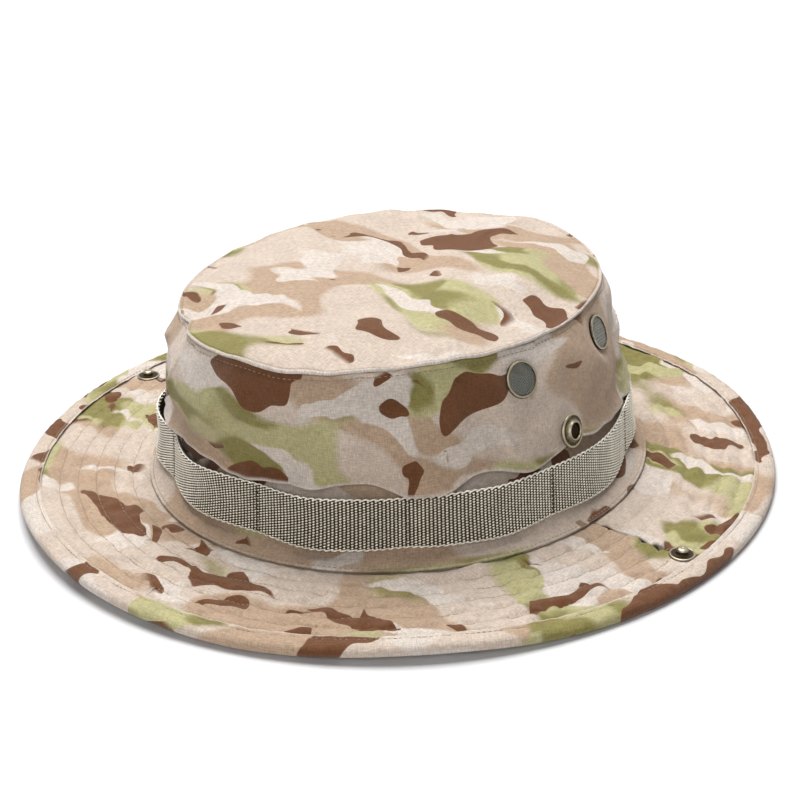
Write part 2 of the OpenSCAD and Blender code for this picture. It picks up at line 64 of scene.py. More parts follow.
# Units of cloth in a metre, and where each piece is cut from the print, in those units
UNITS = 10
CUTS = {
    "top": (4.98, 8.7), "side": (-2.07, 5.39), "collar": (-1.7, 7.3), "brim": (5.06, 4.68),
    "right_binding": (2.2, 9.4), "left_binding": (8.8, 9.4),
}
BACK_CUT = (2.8, 0.67)
TONES = ("Ground", "Sand", "Leaf", "Moss", "Bark", "Pale")

# Rows and columns of the cloth, those of a brim half counted before and behind its side seam
TOP_ROWS, RIM_ROWS, TOP_COLS = 44, 18, 320
SIDE_ROWS, SIDE_COLS = 60, 560
COLLAR_COLS = 460
FRONT_COLS, BACK_COLS = 180, 186
SEWN_COLS = 720

# Quilted rows, and bends of the brim's edge as (degrees, rise)
QUILT_ROWS = 6
BRIM_WAVES = ((244, 2.0 * MM), (285, -1.6 * MM), (315, 2.0 * MM), (58, 2.0 * MM))

# Tacks and weave of the webbing
TACKS, FIRST_TACK = 10, math.radians(-85)
TACK_TURN = 2 * math.pi / TACKS
WEAVE_COLS, WEAVE_ROWS = 412, 18

# Fittings, and the degrees at which the top seam is dented and pushed in and the collar is bar-tacked
SOCKET_TILT = math.radians(77.591)
VENT_HOLE = 6.45 * MM
DENT_TURN, PINCH_TURN = 231, 240
BARTACK_TURNS = (-7.5, 172.5)

# Distance of sewn rows from the edge of the collar and binding and from the top seam, and threads' sizes
EDGE_SEAM, TOP_SEAM = 1.7 * MM, 2.3 * MM
PICK = {"Length": 1.36 * MM, "Width": 0.88 * MM, "Height": 1.05 * MM}
TACK = {"Pitch": 1.6 * MM, "Length": 1.35 * MM, "Width": 0.55 * MM, "Height": 0.5 * MM}
BARTACK = {"Pitch": 0.9 * MM, "Length": 1.1 * MM, "Width": 0.6 * MM, "Height": 0.6 * MM}

# Lamps as (name, share of the key light's power, size, place), and the paper, whose glow sets in over GLOW
LAMPS = (("softbox", 1.0, 1.3, (-0.42, 0.34, 1.75)), ("front_fill", 0.16, 0.9, (0.6, -1.25, 0.72)))
WHITE, PAPER = (1, 1, 1, 1), (0.7, 0.7, 0.71, 1)
PAPER_HALF, GLOW = 6, (0.22, 0.6)

# Profiles of the metal fittings: radius and height in millimetres, and how worn the plate is
VENT_RIM = [
    (6.0, -2.9, 0.1), (6.4, -2.9, 0.1), (6.4, 0.2, 0.0), (6.95, 0.15, 0.0), (7.25, 0.4, 0.0),
    (7.25, 0.9, 0.1), (7.0, 1.28, 0.55), (6.6, 1.38, 0.75), (6.25, 1.25, 0.2), (6.05, 0.95, -0.2),
]
SOCKET = [
    (1.5, 0.15, 0.0), (6.4, 0.15, 0.1), (6.95, 0.4, 0.5), (7.0, 0.95, 0.9), (6.75, 1.38, 1.0),
    (6.25, 1.45, 0.9), (5.9, 1.25, 0.2), (5.3, 1.15, 0.15), (4.6, 1.5, 0.3), (4.05, 2.1, 0.6),
    (3.75, 2.6, 1.0), (3.4, 2.68, 1.0), (3.15, 2.4, 0.5), (3.05, 1.8, -0.1), (3.05, 1.0, -0.4),
    (1.5, 0.85, -0.4),
]
STUD = [
    (1.5, 0.1, 0.0), (4.9, 0.1, 0.2), (5.2, 0.35, 0.8), (5.1, 0.78, 1.0), (4.7, 0.9, 0.9),
    (4.25, 0.72, 0.1), (3.2, 0.62, -0.1), (2.3, 0.9, 0.0), (2.05, 1.5, 0.1), (2.35, 1.95, 0.7),
    (2.4, 2.5, 1.0), (2.0, 3.0, 1.0), (1.1, 3.2, 1.0), (0.0, 3.22, 1.0), (0.0, 1.0, 0.0), (1.5, 1.0, 0.0),
]


def number(name, text, value, low, high):
    """A plain number that a user may change."""
    return FloatProperty(name=name, description=text, default=value, min=low, max=high)


def length(name, text, value, low, high):
    """A size in metres that a user may change."""
    return FloatProperty(
        name=name, description=text, default=value, min=low, max=high, unit="LENGTH", precision=5)


def angle(name, text, degrees):
    """An angle that a user may change."""
    return FloatProperty(name=name, description=text, default=math.radians(degrees), subtype="ANGLE")


def colour(name, text, *steps):
    """A colour that a user may change, written in the usual 0 to 255 steps and kept as linear light."""
    share = np.array(steps) / 255
    light = np.where(share < 0.04045, share / 12.92, ((share + 0.055) / 1.055) ** 2.4)
    return FloatVectorProperty(
        name=name, description=text, default=light.tolist(), size=3, min=0, max=1, subtype="COLOR")


class HatSizes(bpy.types.PropertyGroup):
    """Sizes of the hat. Those that its CAD source has too agree with it, but for web_bow and quilt_depth."""
    band_a: length("Band half width", "Half width of the collar band at its root", 0.0924, 0.08, 0.1)
    band_b: length("Band half length", "Half length of the collar band at its root", 0.0991, 0.09, 0.11)
    band_t: length("Band cloth", "Thickness of the collar band", 0.0009, 0.0005, 0.0015)
    band_lean: length("Band lean", "How far the band leans in at the top of the webbing", 0.001, 0, 0.002)
    flare_w: length("Collar flare", "How far the collar flares out over the brim", 0.0092, 0.006, 0.012)
    flare_h: length("Flare height", "Height of the collar's flare", 0.007, 0.005, 0.009)
    collar_z: length("Collar height", "Height of the collar's edge above the ground", 0.00675, 0.004, 0.01)
    root_z: length("Brim root", "Height of the brim's upper face at the collar", 0.00575, 0.004, 0.009)
    web_z: length("Webbing height", "Height of the webbing's lower edge", 0.01215, 0.01, 0.02)
    web_h: length("Webbing width", "Width of the webbing", 0.02, 0.015, 0.025)
    web_bow: length("Loop bow", "How far each webbing loop bows out", 0.0027, 0, 0.003)
    hem_z: length("Hem height", "Height of the crown's hem", 0.03575, 0.03, 0.045)
    hem_a: length("Hem half width", "Half width of the crown at its hem", 0.0898, 0.08, 0.1)
    hem_b: length("Hem half length", "Half length of the crown at its hem", 0.0984, 0.09, 0.11)
    hem_t: length("Hem cloth", "Thickness of the folded hem", 0.0018, 0.001, 0.003)
    side_h: length("Crown side", "Height of the crown's side from hem to top seam", 0.0443, 0.04, 0.06)
    taper_side: length("Side taper", "How far the crown tapers in at the sides", 0.0114, 0.006, 0.016)
    taper_end: length("End taper", "How far the crown tapers in at front and back", 0.0034, 0, 0.01)
    side_bulge: length("Bulge", "Outward bulge of the crown's side", 0.0032, 0, 0.004)
    side_wave: length("Waves", "Depth of the waves round the crown's side", 0.0007, 0, 0.001)
    top_lean: length("Top lean", "How far the top panel leans to the front", 0.0028, 0, 0.004)
    dome_rise: length("Dome", "Rise of the top panel above its seam", 0.006, 0.002, 0.014)
    cloth_t: length("Crown cloth", "Thickness of the crown's cloth", 0.0012, 0.0008, 0.0016)
    welt_h: length("Welt", "Height of the raised welt along the top seam", 0.0008, 0.0004, 0.0015)
    brim_w: length("Brim width", "Width of the brim from the collar's edge", 0.0535, 0.048, 0.062)
    brim_t: length("Brim thickness", "Thickness of the brim's layers together", 0.0031, 0.002, 0.005)
    brim_drop: length("Brim fall", "How far the brim falls to its edge", 0.002, 0.001, 0.006)
    front_lift: length("Front lift", "How far the front edge lifts off the ground", 0.003, 0, 0.006)
    bind_w: length("Binding", "Width of the binding round the brim", 0.0086, 0.006, 0.011)
    bind_t: length("Binding cloth", "Thickness of the binding", 0.00055, 0.0004, 0.0008)
    quilt_depth: length("Quilting", "Depth of the quilted channels", 0.0013, 0, 0.002)
    snap_y: length("Stud offset", "Place of studs and side seams along the hat", -0.008, -0.012, 0.004)
    fold_x: length("Fold line", "Distance of the brim's fold lines from the middle", 0.1025, 0.1, 0.106)
    fold_w: length("Fold width", "Width of the bend at a fold line", 0.004, 0.002, 0.01)
    stud_x: length("Stud reach", "Distance of the studs from the middle", 0.140793, 0.13, 0.15)
    stud_z: length("Stud height", "Height of the brim's upper face at the studs", 0.004277, 0.003, 0.006)
    socket_x: length("Socket reach", "Distance of the sockets from the middle", 0.0895853, 0.085, 0.095)
    socket_z: length("Socket height", "Height of the sockets' seats", 0.0421115, 0.04, 0.05)
    vent_drop: length("Vent drop", "Distance of the vents below the top seam", 0.0109, 0.01, 0.018)
    vent_y: length("Vent offset", "Place of the middle of each pair of vents", -0.002, -0.006, 0.004)
    vent_pitch: length("Vent pitch", "Distance between the two vents of a pair", 0.055, 0.04, 0.06)
    stitch_pitch: length("Stitch pitch", "Distance from stitch to stitch", 0.0021, 0.0015, 0.004)
    stitch_w: length("Thread", "Thickness of the sewing thread", 0.00042, 0.0003, 0.0008)


class HatColours(bpy.types.PropertyGroup):
    """Colours of the cloth, thread, webbing and metal, and the scale of the print."""
    ground: colour("Ground", "Ground of the printed cloth", 206, 189, 174)
    sand: colour("Sand", "Sandy patches of the print", 184, 158, 134)
    leaf: colour("Leaf", "Pale green patches of the print", 183, 176, 131)
    moss: colour("Moss", "Deeper green inside the green patches", 137, 129, 76)
    bark: colour("Bark", "Dark brown spots of the print", 111, 73, 48)
    pale: colour("Pale", "Palest strokes of the print", 214, 202, 191)
    print_scale: number("Print scale", "Units of the print in 100 mm of cloth", 1.2, 0.5, 3)
    thread: colour("Thread", "Sewing thread", 168, 147, 120)
    lining: colour("Lining", "Plain cloth of the sweatband", 152, 134, 107)
    web_ground: colour("Webbing ground", "Dark ground of the webbing", 72, 61, 44)
    web_thread: colour("Webbing thread", "Light threads of the webbing", 255, 247, 226)
    tack: colour("Tacks", "Thread of the webbing's tacks", 84, 72, 54)
    metal: colour("Metal", "Antique plate of studs, sockets and vent rims", 150, 140, 118)
    # Patina in the metal's hollows; on the cloth the same colour is painted shade in seams, channels and
    # under the hem
    patina_and_painted_shade: colour("Recess", "Darkened recesses of the metal and the seams", 48, 40, 30)
    screen: colour("Screen", "Wire of the vent screens", 130, 130, 123)


class HatStage(bpy.types.PropertyGroup):
    """Camera and light."""
    lens: number("Lens", "Focal length of the camera, in millimetres", 83.298, 20, 300)
    distance: length("Distance", "Distance of the camera from the hat's middle", 0.770985, 0.3, 3)
    azimuth: angle("Azimuth", "Turn of the camera round the hat", 37.828)
    elevation: angle("Elevation", "Height of the camera as an angle", 24.914)
    roll: angle("Roll", "Tilt of the camera about its line of sight", -0.793)
    middle_z: length("Middle", "Height of the point that the camera is set from", 0.0376, 0, 0.1)
    across: length("Across", "Sideways offset of the camera", 0.000246, -0.1, 0.1)
    above: length("Above", "Upward offset of the camera", -0.009097, -0.1, 0.1)
    key: number("Key light", "Power of the overhead softbox, in watts", 54.0, 0, 200)
    fill: number("Fill", "Strength of the world's light", 0.09, 0, 1)


# Shapes that the pieces share


def oval(a, b, t, z):
    """Points on an ellipse, t in radians."""
    return np.stack(np.broadcast_arrays(a * np.cos(t), b * np.sin(t), z), -1)


def ripple(points, scale, seed, waves=10):
    """A soft seeded field over points in space, about -1 to 1, whose waves are about scale long."""
    draw = np.random.default_rng(seed)
    total = np.zeros(points.shape[:-1])
    for _ in range(waves):
        way = draw.normal(size=3)
        way *= 2 * math.pi / scale * draw.uniform(0.65, 1.35) / np.linalg.norm(way)
        total += np.sin(points @ way + draw.uniform(0, 2 * math.pi))
    return total / (1.5 * math.sqrt(waves / 2))


def relief(points, *waves):
    """Ripples over points, each given as height and length in millimetres and a seed."""
    return sum(height * MM * ripple(points, scale * MM, seed) for height, scale, seed in waves)


def near(distance, width):
    """1 at distance 0, falling softly to 0 over about width."""
    return np.exp(-((distance / width) ** 2))


def ridges(distance, *shapes):
    """Soft ridges, or furrows below 0, each given as height, place and width in millimetres."""
    return sum(height * MM * near(distance - at * MM, width * MM) for height, at, width in shapes)


def crease(place):
    """Narrow ridges, 1 where place is a whole number."""
    return (1 - np.abs(np.sin(math.pi * place))) ** 3


def turn_between(t, degrees):
    """Signed turn from an angle in degrees to angles t, in radians."""
    return (t - math.radians(degrees) + math.pi) % (2 * math.pi) - math.pi


def unit(vectors):
    return vectors / np.maximum(np.linalg.norm(vectors, axis=-1, keepdims=True), 1e-12)


def seat_frame(place, out):
    """A frame at place with z along out and x level."""
    z = Vector(out).normalized()
    x = Vector((-z.y, z.x, 0)).normalized() if abs(z.z) < 0.99 else Vector((1, 0, 0))
    turn = Matrix((x, z.cross(x), z)).transposed()
    return Matrix.LocRotScale(Vector(place), turn.to_quaternion(), None)


class Form:
    """The hat's surfaces at the sizes that are set.

    Angles t run round the hat, q is a share of the crown side's height and d a distance out from the
    collar's edge. A sign of 1 stands for the right half of the brim, -1 for the left half.
    """

    def __init__(self, s):
        self.s = s
        self.collar_a = s.band_a + s.flare_w
        self.collar_b = s.band_b + s.flare_w
        self.flare_z = s.collar_z + s.flare_h
        self.web_top = s.web_z + s.web_h
        self.seam_z = s.hem_z + s.side_h
        self.hem_r = (s.hem_a + s.hem_b) / 2
        self.rim_a = s.hem_a - s.taper_side + s.welt_h
        self.rim_b = s.hem_b - s.taper_end + s.welt_h
        self.rim_r = (self.rim_a + self.rim_b) / 2
        self.quilt_w = s.brim_w - s.bind_w
        self.pitch = self.quilt_w / QUILT_ROWS
        self.back_shift = 0.35 * self.pitch
        vent_q = 1 - s.vent_drop / s.side_h
        self.vents = [
            self.wall_frame(vent_q, s.vent_y + end * s.vent_pitch / 2, sign)
            for sign in SIDES.values() for end in (-1, 1)
        ]
        self.sockets = self.pair(s.socket_x, s.socket_z, SOCKET_TILT)
        self.studs = self.pair(s.stud_x, s.stud_z, math.atan(s.brim_drop / s.brim_w))

    def pair(self, x, z, tilt):
        """Frames of a fitting on both sides, tilted outwards."""
        return {
            side: seat_frame((sign * x, self.s.snap_y, z), (sign * math.sin(tilt), 0, math.cos(tilt)))
            for side, sign in SIDES.items()
        }

    def brim_z(self, d, t, sign):
        """Height of the brim, which falls to its edge, lifts at the front and waves softly."""
        s = self.s
        lift = s.front_lift * np.maximum(0, (-np.sin(t) - 0.4) / 0.6) ** 2
        around = t if sign > 0 else math.pi - t
        for degrees, rise in BRIM_WAVES:
            wave = near(turn_between(around, degrees), math.radians(14))
            lift = lift + rise * wave * np.clip(d / s.brim_w, 0, 1)
        return s.root_z + d / s.brim_w * (lift - s.brim_drop)

    def brim(self, d, t, dz, sign):
        place = oval(self.collar_a + d, self.collar_b + d, t, self.brim_z(d, t, sign) + dz)
        return place * (sign, 1, 1)

    def wall(self, q, t, out=0):
        """Crown side at share q of its height, moved outwards by out."""
        s = self.s
        wave = s.side_wave * np.sin(math.pi * q) * np.cos(7 * t + math.pi / 2 * q)
        grow = s.side_bulge * np.sin(math.pi * q) + wave + out
        a, b = s.hem_a - s.taper_side * q + grow, s.hem_b - s.taper_end * q + grow
        place = oval(a, b, t, s.hem_z + s.side_h * q)
        place[..., 1] -= s.top_lean * q
        return place

    def wall_frame(self, q, y, sign):
        """Frame with z out of the crown's side, at height q and place y."""
        s = self.s
        b = s.hem_b - s.taper_end * q + s.side_bulge * math.sin(math.pi * q)
        t, step = math.asin((y + s.top_lean * q) / b), 1e-4
        up = self.wall(q + step, t) - self.wall(q - step, t)
        along = self.wall(q, t + step) - self.wall(q, t - step)
        flip = (sign, 1, 1)
        return seat_frame(self.wall(q, t) * flip, np.cross(along, up) * flip)

    def clear_of(self, points, seats, reach):
        """1 away from the fittings, 0 under them, so that cloth lies flat there."""
        free = np.ones(points.shape[:-1])
        for seat in seats:
            away = np.linalg.norm(points - np.array(seat.translation), axis=-1)
            free *= 1 - near(np.maximum(0, away - reach), 4 * MM)
        return free

    def band_path(self, off):
        """Rings of the collar band from its top to the flare's edge, off being the depth into the cloth."""
        s = self.s
        inset = s.hem_t + 0.3 * MM + off
        rings = [(s.hem_a - inset, s.hem_b - inset, s.hem_z + dz) for dz in (1.2 * MM, -2.2 * MM)]
        for k in np.linspace(0.93, 0, 14):
            lean = s.band_lean * k + off
            rings.append((s.band_a - lean, s.band_b - lean, self.flare_z + k * (self.web_top - self.flare_z)))
        for turn in np.linspace(0, math.pi / 2, 26)[1:]:
            d = (s.flare_w + off) * math.cos(turn)
            z = self.flare_z - (s.flare_h + off) * math.sin(turn)
            rings.append((self.collar_a - d, self.collar_b - d, z))
        return np.array(rings)

    def brim_angles(self, d):
        """Columns of a right half from front to back over its side seam, with one more at each end."""
        seam = np.arcsin(self.s.snap_y / (self.collar_b + d))[:, None]
        before = np.linspace(1 + 1 / FRONT_COLS, 0, FRONT_COLS + 2)[None, :] ** 1.3
        after = np.linspace(0, 1 + 1 / BACK_COLS, BACK_COLS + 2)[None, 1:] ** 1.3
        return np.concatenate([seam - before * (seam + math.pi / 2), seam + after * (math.pi / 2 - seam)], 1)

    def quilted(self, d):
        return (d > 0) & (d < self.quilt_w)

    def behind(self, place):
        """Marks what lies behind the side seam."""
        return place[..., 1] > self.s.snap_y + 1e-6

    def lane(self, d, place):
        """Distance out in row widths. The rows behind the side seam are shifted."""
        return (d - np.where(self.behind(place), self.back_shift, 0)) / self.pitch

    def rib(self, d, place):
        """Height of the quilted ribs, 0 on a rib's crown and -1 in a stitched channel."""
        arch = np.abs(np.sin(math.pi * self.lane(d, place))) ** 0.5 - 1
        return np.where(self.quilted(d), arch, -0.45)

    def side_seam(self, d, place):
        """1 in the open seam between the front and back of the brim, from the collar to the stud."""
        seam = near(place[..., 1] - self.s.snap_y - relief(place, (0.35, 6, 14)), 0.6 * MM)
        return seam * ((d > 0) & (d < self.s.stud_x - self.collar_a))

    def brim_top(self, d, t, sign):
        """Upper face of the brim with its quilting, puckers and side seam."""
        s = self.s
        place = self.brim(d, t, 0 * d, sign)
        ribs = self.rib(d, place)
        puff = 1 + 0.25 * ripple(place, 34 * MM, 15)
        pucker = relief(place, (0.36, 7, 11), (0.35, 17, 12)) * np.where(self.quilted(d), 1, 0.2)
        around = (self.collar_a + self.collar_b) / 2 * t
        row = 40 * MM * np.floor(self.lane(d, place))
        across = np.stack(np.broadcast_arrays(around, 0.3 * d, row), -1)
        depth = np.where(self.behind(place), 0.7, 0.5) * MM
        pucker += depth * ripple(across, 8 * MM, 16 + sign) * (ribs + 1) * self.quilted(d)
        free = self.clear_of(place, self.studs.values(), 4.8 * MM)
        seam = 1.6 * MM * self.side_seam(d, place) * free
        place[..., 2] += free * (s.quilt_depth * puff * ribs + pucker) - seam - 0.02 * MM
        return place

    def brim_under(self, d, t, sign):
        """Lower face of the brim, quilted more shallowly."""
        s = self.s
        place = self.brim(d, t, 0 * d - s.brim_t, sign)
        free = self.clear_of(place, self.studs.values(), 5 * MM)
        place[..., 2] -= free * 0.3 * s.quilt_depth * (self.rib(d, place) + 0.45)
        place[..., 2] += relief(place, (0.12, 8, 13))
        return place

    def pinch(self, q, t):
        """How far the top seam is pushed in at the front left, falling off sharply on one side."""
        turn = turn_between(t, PINCH_TURN)
        slope = np.where(turn < 0, near(turn, math.radians(9)), near(turn, math.radians(3.2)))
        return 3.6 * MM * q ** 5 * slope

    def rim_sag(self, t):
        """How far the top seam rises and sinks along its way."""
        ring = oval(self.rim_a, self.rim_b, t, 0)
        return relief(ring, (1.1, 70, 44), (0.4, 24, 45))

    def wrinkles(self, q, t):
        """How far wrinkles move the crown's side outwards, and how far the hem waves up and down."""
        s = self.s
        place = self.wall(q, t)
        ring = place * LEVEL
        middle = np.sqrt(np.clip(4 * q * (1 - q), 0, 1))
        soft = relief(place, (2.7, 52, 21), (1.1, 21, 22))
        skew = place[..., 2] / (30 * MM) + 1.6 * ripple(place, 90 * MM, 23) + 2.5 * t
        folds = 2.8 * MM * crease(skew) * np.clip(ripple(place, 60 * MM, 24), 0, 1)
        eased = near(q, 0.16) * relief(ring, (0.55, 11, 25)) + near(1 - q, 0.1) * relief(ring, (0.35, 8, 26))
        free = self.clear_of(place, self.vents, 6 * MM)
        free = free * self.clear_of(place, self.sockets.values(), 6 * MM)
        hem = near(q, 0.12)
        out = free * (middle ** 2 * soft + middle * folds + eased)
        out = out + hem * free * (1.6 * MM + relief(ring, (1.3, 34, 27)))
        out = out + ridges(q * s.side_h, (1.5, 0, 1.7))
        back_seam = near(np.abs(np.arctan2(place[..., 0], place[..., 1])) * self.hem_r, 0.6 * MM)
        sewn = near((1 - q) * s.side_h - TOP_SEAM, 0.6 * MM)
        out = out - 0.5 * MM * back_seam - 0.35 * MM * sewn - self.pinch(q, t)
        return out, hem * np.maximum(-2.6 * MM, relief(ring, (2.5, 44, 28), (1.3, 22, 29)))

    def side(self, q, t, inset=0):
        out, drop = self.wrinkles(q, t)
        place = self.wall(q, t, out - inset)
        place[..., 2] += drop + q ** 3 * self.rim_sag(t)
        return place

    def webbing(self, t, v, off):
        """Webbing at angle t, share v of its width and depth off from its inner face."""
        s = self.s
        tacks = (t - FIRST_TACK) / TACK_TURN
        loop = np.abs(np.sin(math.pi * tacks)) ** 1.35
        slack = (0.75 + 0.25 * np.sin(np.floor(tacks) * 2.4 + 0.7)) * (1 - 0.3 * np.cos(t) ** 8)
        slack = slack + 0.7 * near(turn_between(t, 220), math.radians(15))
        bow = s.web_bow * loop * slack * (1.05 - 0.3 * v) + 0.8 * MM * loop * np.maximum(0, 0.5 - v) / 0.5
        gape = np.clip((v - 0.3) / 0.7, 0, 1) ** 1.4
        bow = bow + 3.0 * MM * loop * near(turn_between(t, 250), math.radians(38)) * gape
        foot = 0.095
        upright = 0.3 * MM - s.band_lean * np.maximum(0, v - foot) / (1 - foot)
        lean = np.where(v > foot, upright, 0.3 * MM + (foot - v) * 2.6 * MM)
        place = oval(s.band_a + lean + bow + off, s.band_b + lean + bow + off, t, s.web_z + s.web_h * v)
        place[..., 2] += loop * relief(place * LEVEL, (0.7, 46, 31)) - 0.5 * MM * (1 - loop) * (v - 0.3)
        return place


# Meshes


def new_piece(name, mesh, material):
    piece = bpy.data.objects.new(name, mesh)
    bpy.context.scene.collection.objects.link(piece)
    if material:
        mesh.materials.clear()
        mesh.materials.append(material)
    return piece


def grid_normals(grid):
    """Normals of a grid whose rows and columns are open."""
    return unit(np.cross(np.gradient(grid, axis=0), np.gradient(grid, axis=1)))


def cloth(name, outer, inner, uv, wrap, material, holes=None, shift=None, edge=None, normals=None):
    """A closed sheet between two grids whose rows times columns point out of the cloth.

    uv has a column more than the grid if it wraps, shift is added to the uv of a column of cells, holes
    marks the cells that are left out, and edge is above 0 where cloth is painted paler, as wear and as
    painted highlight, and below 0 where painted shade darkens it.
    """
    rows, cols = outer.shape[:2]
    cells = cols if wrap else cols - 1
    r, c = np.meshgrid(np.arange(rows - 1), np.arange(cells), indexing="ij")
    gone = np.zeros((rows - 1, cells), bool) if holes is None else holes
    ring = [(r, c), (r + 1, c), (r + 1, c + 1), (r, c + 1)]
    faces = []

    def add(corners, keep):
        stacked = np.stack([np.stack(np.broadcast_arrays(*corner), -1) for corner in corners], -2)
        faces.append(stacked[keep])

    add([(0, *p, c) for p in ring], ~gone)
    add([(1, *p, c) for p in reversed(ring)], ~gone)
    for k, (dr, dc) in enumerate([(0, -1), (1, 0), (0, 1), (-1, 0)]):
        next_r = r + dr
        next_c = (c + dc) % cells if wrap else c + dc
        off = (next_r < 0) | (next_r >= rows - 1) | (next_c < 0) | (next_c >= cells)
        other = gone[np.clip(next_r, 0, rows - 2), np.clip(next_c, 0, cells - 1)]
        p, q = ring[k], ring[(k + 1) % 4]
        add([(0, *p, c), (0, *q, c), (1, *q, c), (1, *p, c)], gone & ~off & ~other)
        add([(0, *q, c), (0, *p, c), (1, *p, c), (1, *q, c)], ~gone & off)
    corners = np.concatenate(faces)
    index = corners[..., 0] * rows * cols + corners[..., 1] * cols + corners[..., 2] % cols
    used, index = np.unique(index, return_inverse=True)

    def both(front, back):
        """Values of the used points of both faces."""
        return np.concatenate([front.reshape(rows * cols, -1), back.reshape(rows * cols, -1)])[used]

    mesh = bpy.data.meshes.new(name)
    mesh.from_pydata(both(outer, inner).tolist(), [], index.reshape(-1, 4).tolist())
    place = uv[corners[..., 1], corners[..., 2]]
    if shift is not None:
        place = place + shift[corners[..., 3]]
    mesh.uv_layers.new(name="cloth").data.foreach_set("uv", place.ravel().astype(np.float32))
    if edge is not None:
        marks = both(edge, 0.4 * edge).ravel().astype(np.float32)
        mesh.attributes.new("edge", "FLOAT", "POINT").data.foreach_set("value", marks)
    mesh.shade_smooth()
    if normals is not None:
        mesh.normals_split_custom_set_from_vertices(both(*normals).tolist())
    return new_piece(name, mesh, material)


def clean(mesh, outwards=False):
    """Joins points that fall together, as at the middle of a disc, and turns faces outwards if asked."""
    work = bmesh.new()
    work.from_mesh(mesh)
    bmesh.ops.remove_doubles(work, verts=work.verts, dist=1e-7)
    bmesh.ops.dissolve_degenerate(work, edges=work.edges, dist=1e-8)
    if outwards:
        bmesh.ops.recalc_face_normals(work, faces=work.faces)
    work.to_mesh(mesh)
    work.free()
    mesh.shade_smooth()


def turned_piece(name, profile, seats, material, steps=56):
    """A piece turned at one or more seats from a closed profile, its corners cut twice to round them."""
    ring = np.array(profile, float)
    for _ in range(2):
        after = np.roll(ring, -1, axis=0)
        ring = np.stack([0.75 * ring + 0.25 * after, 0.25 * ring + 0.75 * after], 1).reshape(-1, 3)
    points, faces, worn = [], [], []
    count = len(ring)
    for seat in seats:
        start = len(points)
        for j in range(steps):
            a = 2 * math.pi * j / steps
            for radius, height, mark in ring.tolist():
                across = radius * MM
                points.append(seat @ Vector((across * math.cos(a), across * math.sin(a), height * MM)))
                worn.append(mark)
            for i in range(count):
                corners = [(j, i), (j, i + 1), (j + 1, i + 1), (j + 1, i)]
                faces.append([start + m % steps * count + n % count for m, n in corners])
    mesh = bpy.data.meshes.new(name)
    mesh.from_pydata(points, [], faces)
    mesh.attributes.new("worn", "FLOAT", "POINT").data.foreach_set("value", worn)
    clean(mesh, outwards=True)
    return new_piece(name, mesh, material)


# Geometry Nodes trees


def fill(tree, node, links):
    """Fills a node's inputs with values or other nodes' outputs."""
    for key, value in links.items():
        if isinstance(value, bpy.types.NodeSocket):
            tree.links.new(value, node.inputs[key])
        else:
            node.inputs[key].default_value = value
    return node


def make(tree, kind, links=None, **settings):
    """Adds a node, sets its properties and fills its inputs."""
    node = tree.nodes.new(kind)
    for key, value in settings.items():
        setattr(node, key, value)
    return fill(tree, node, links or {})


def geometry_tree(name, sizes):
    """An empty Geometry Nodes tree with a mesh, sizes and a material going in."""
    tree = bpy.data.node_groups.new(name, "GeometryNodeTree")
    tree.interface.new_socket("Geometry", in_out="INPUT", socket_type="NodeSocketGeometry")
    for key, value in sizes.items():
        kind = "NodeSocketInt" if isinstance(value, int) else "NodeSocketFloat"
        tree.interface.new_socket(key, in_out="INPUT", socket_type=kind).default_value = value
    tree.interface.new_socket("Material", in_out="INPUT", socket_type="NodeSocketMaterial")
    tree.interface.new_socket("Geometry", in_out="OUTPUT", socket_type="NodeSocketGeometry")
    return tree, tree.nodes.new("NodeGroupInput").outputs


def close_tree(tree, geometry, material):
    """Ends a tree with plain geometry, smooth shading and the material."""
    real = make(tree, "GeometryNodeRealizeInstances", {"Geometry": geometry})
    smooth = make(tree, "GeometryNodeSetShadeSmooth", {"Geometry": real.outputs[0]})
    painted = make(tree, "GeometryNodeSetMaterial", {"Geometry": smooth.outputs[0], "Material": material})
    make(tree, "NodeGroupOutput", {"Geometry": painted.outputs[0]})
    return tree


def point_vector(tree, name):
    """A direction that the points of a mesh hold."""
    return make(tree, "GeometryNodeInputNamedAttribute", {"Name": name}, data_type="FLOAT_VECTOR").outputs[0]


def bead_at(tree, points, given, along):
    """Instances of a rounded bead on points, laid along a direction and flat on the surface."""
    turn = make(tree, "FunctionNodeAxesToRotation", {
        "Primary Axis": point_vector(tree, "out"), "Secondary Axis": along,
    }, primary_axis="Z", secondary_axis="X")
    bead = make(tree, "GeometryNodeMeshUVSphere", {"Segments": 5, "Rings": 3, "Radius": 0.5})
    random = make(tree, "FunctionNodeRandomValue", {
        2: 0.86, 3: 1.06, "Seed": given["Seed"]}, data_type="FLOAT")
    long = math_node(tree, "MULTIPLY", given["Length"], random.outputs[1])
    scale = make(tree, "ShaderNodeCombineXYZ", {"X": long, "Y": given["Width"], "Z": given["Height"]})
    return make(tree, "GeometryNodeInstanceOnPoints", {
        "Points": points, "Instance": bead.outputs[0], "Rotation": turn.outputs[0],
        "Scale": scale.outputs[0]}).outputs[0]


def stitch_tree():
    """Stitches along the edges of a mesh, whose points hold the surface's direction in out."""
    tree, given = geometry_tree("sewn_row", {
        "Pitch": 3 * MM, "Length": 2.4 * MM, "Width": 0.4 * MM, "Height": 0.3 * MM, "Seed": 5})
    path = make(tree, "GeometryNodeMeshToCurve", {"Mesh": given["Geometry"]})
    spaced = make(tree, "GeometryNodeResampleCurve", {
        "Curve": path.outputs[0], "Length": given["Pitch"]}, mode="LENGTH")
    tangent = make(tree, "GeometryNodeInputTangent")
    return close_tree(tree, bead_at(tree, spaced.outputs[0], given, tangent.outputs[0]), given["Material"])


def weave_tree():
    """Raised threads of a coarse weave, one on each point of a mesh, laid along the attribute along."""
    tree, given = geometry_tree("raised_threads", {
        "Length": 1.2 * MM, "Width": 0.9 * MM, "Height": 0.6 * MM, "Seed": 9})
    along = point_vector(tree, "along")
    return close_tree(tree, bead_at(tree, given["Geometry"], given, along), given["Material"])


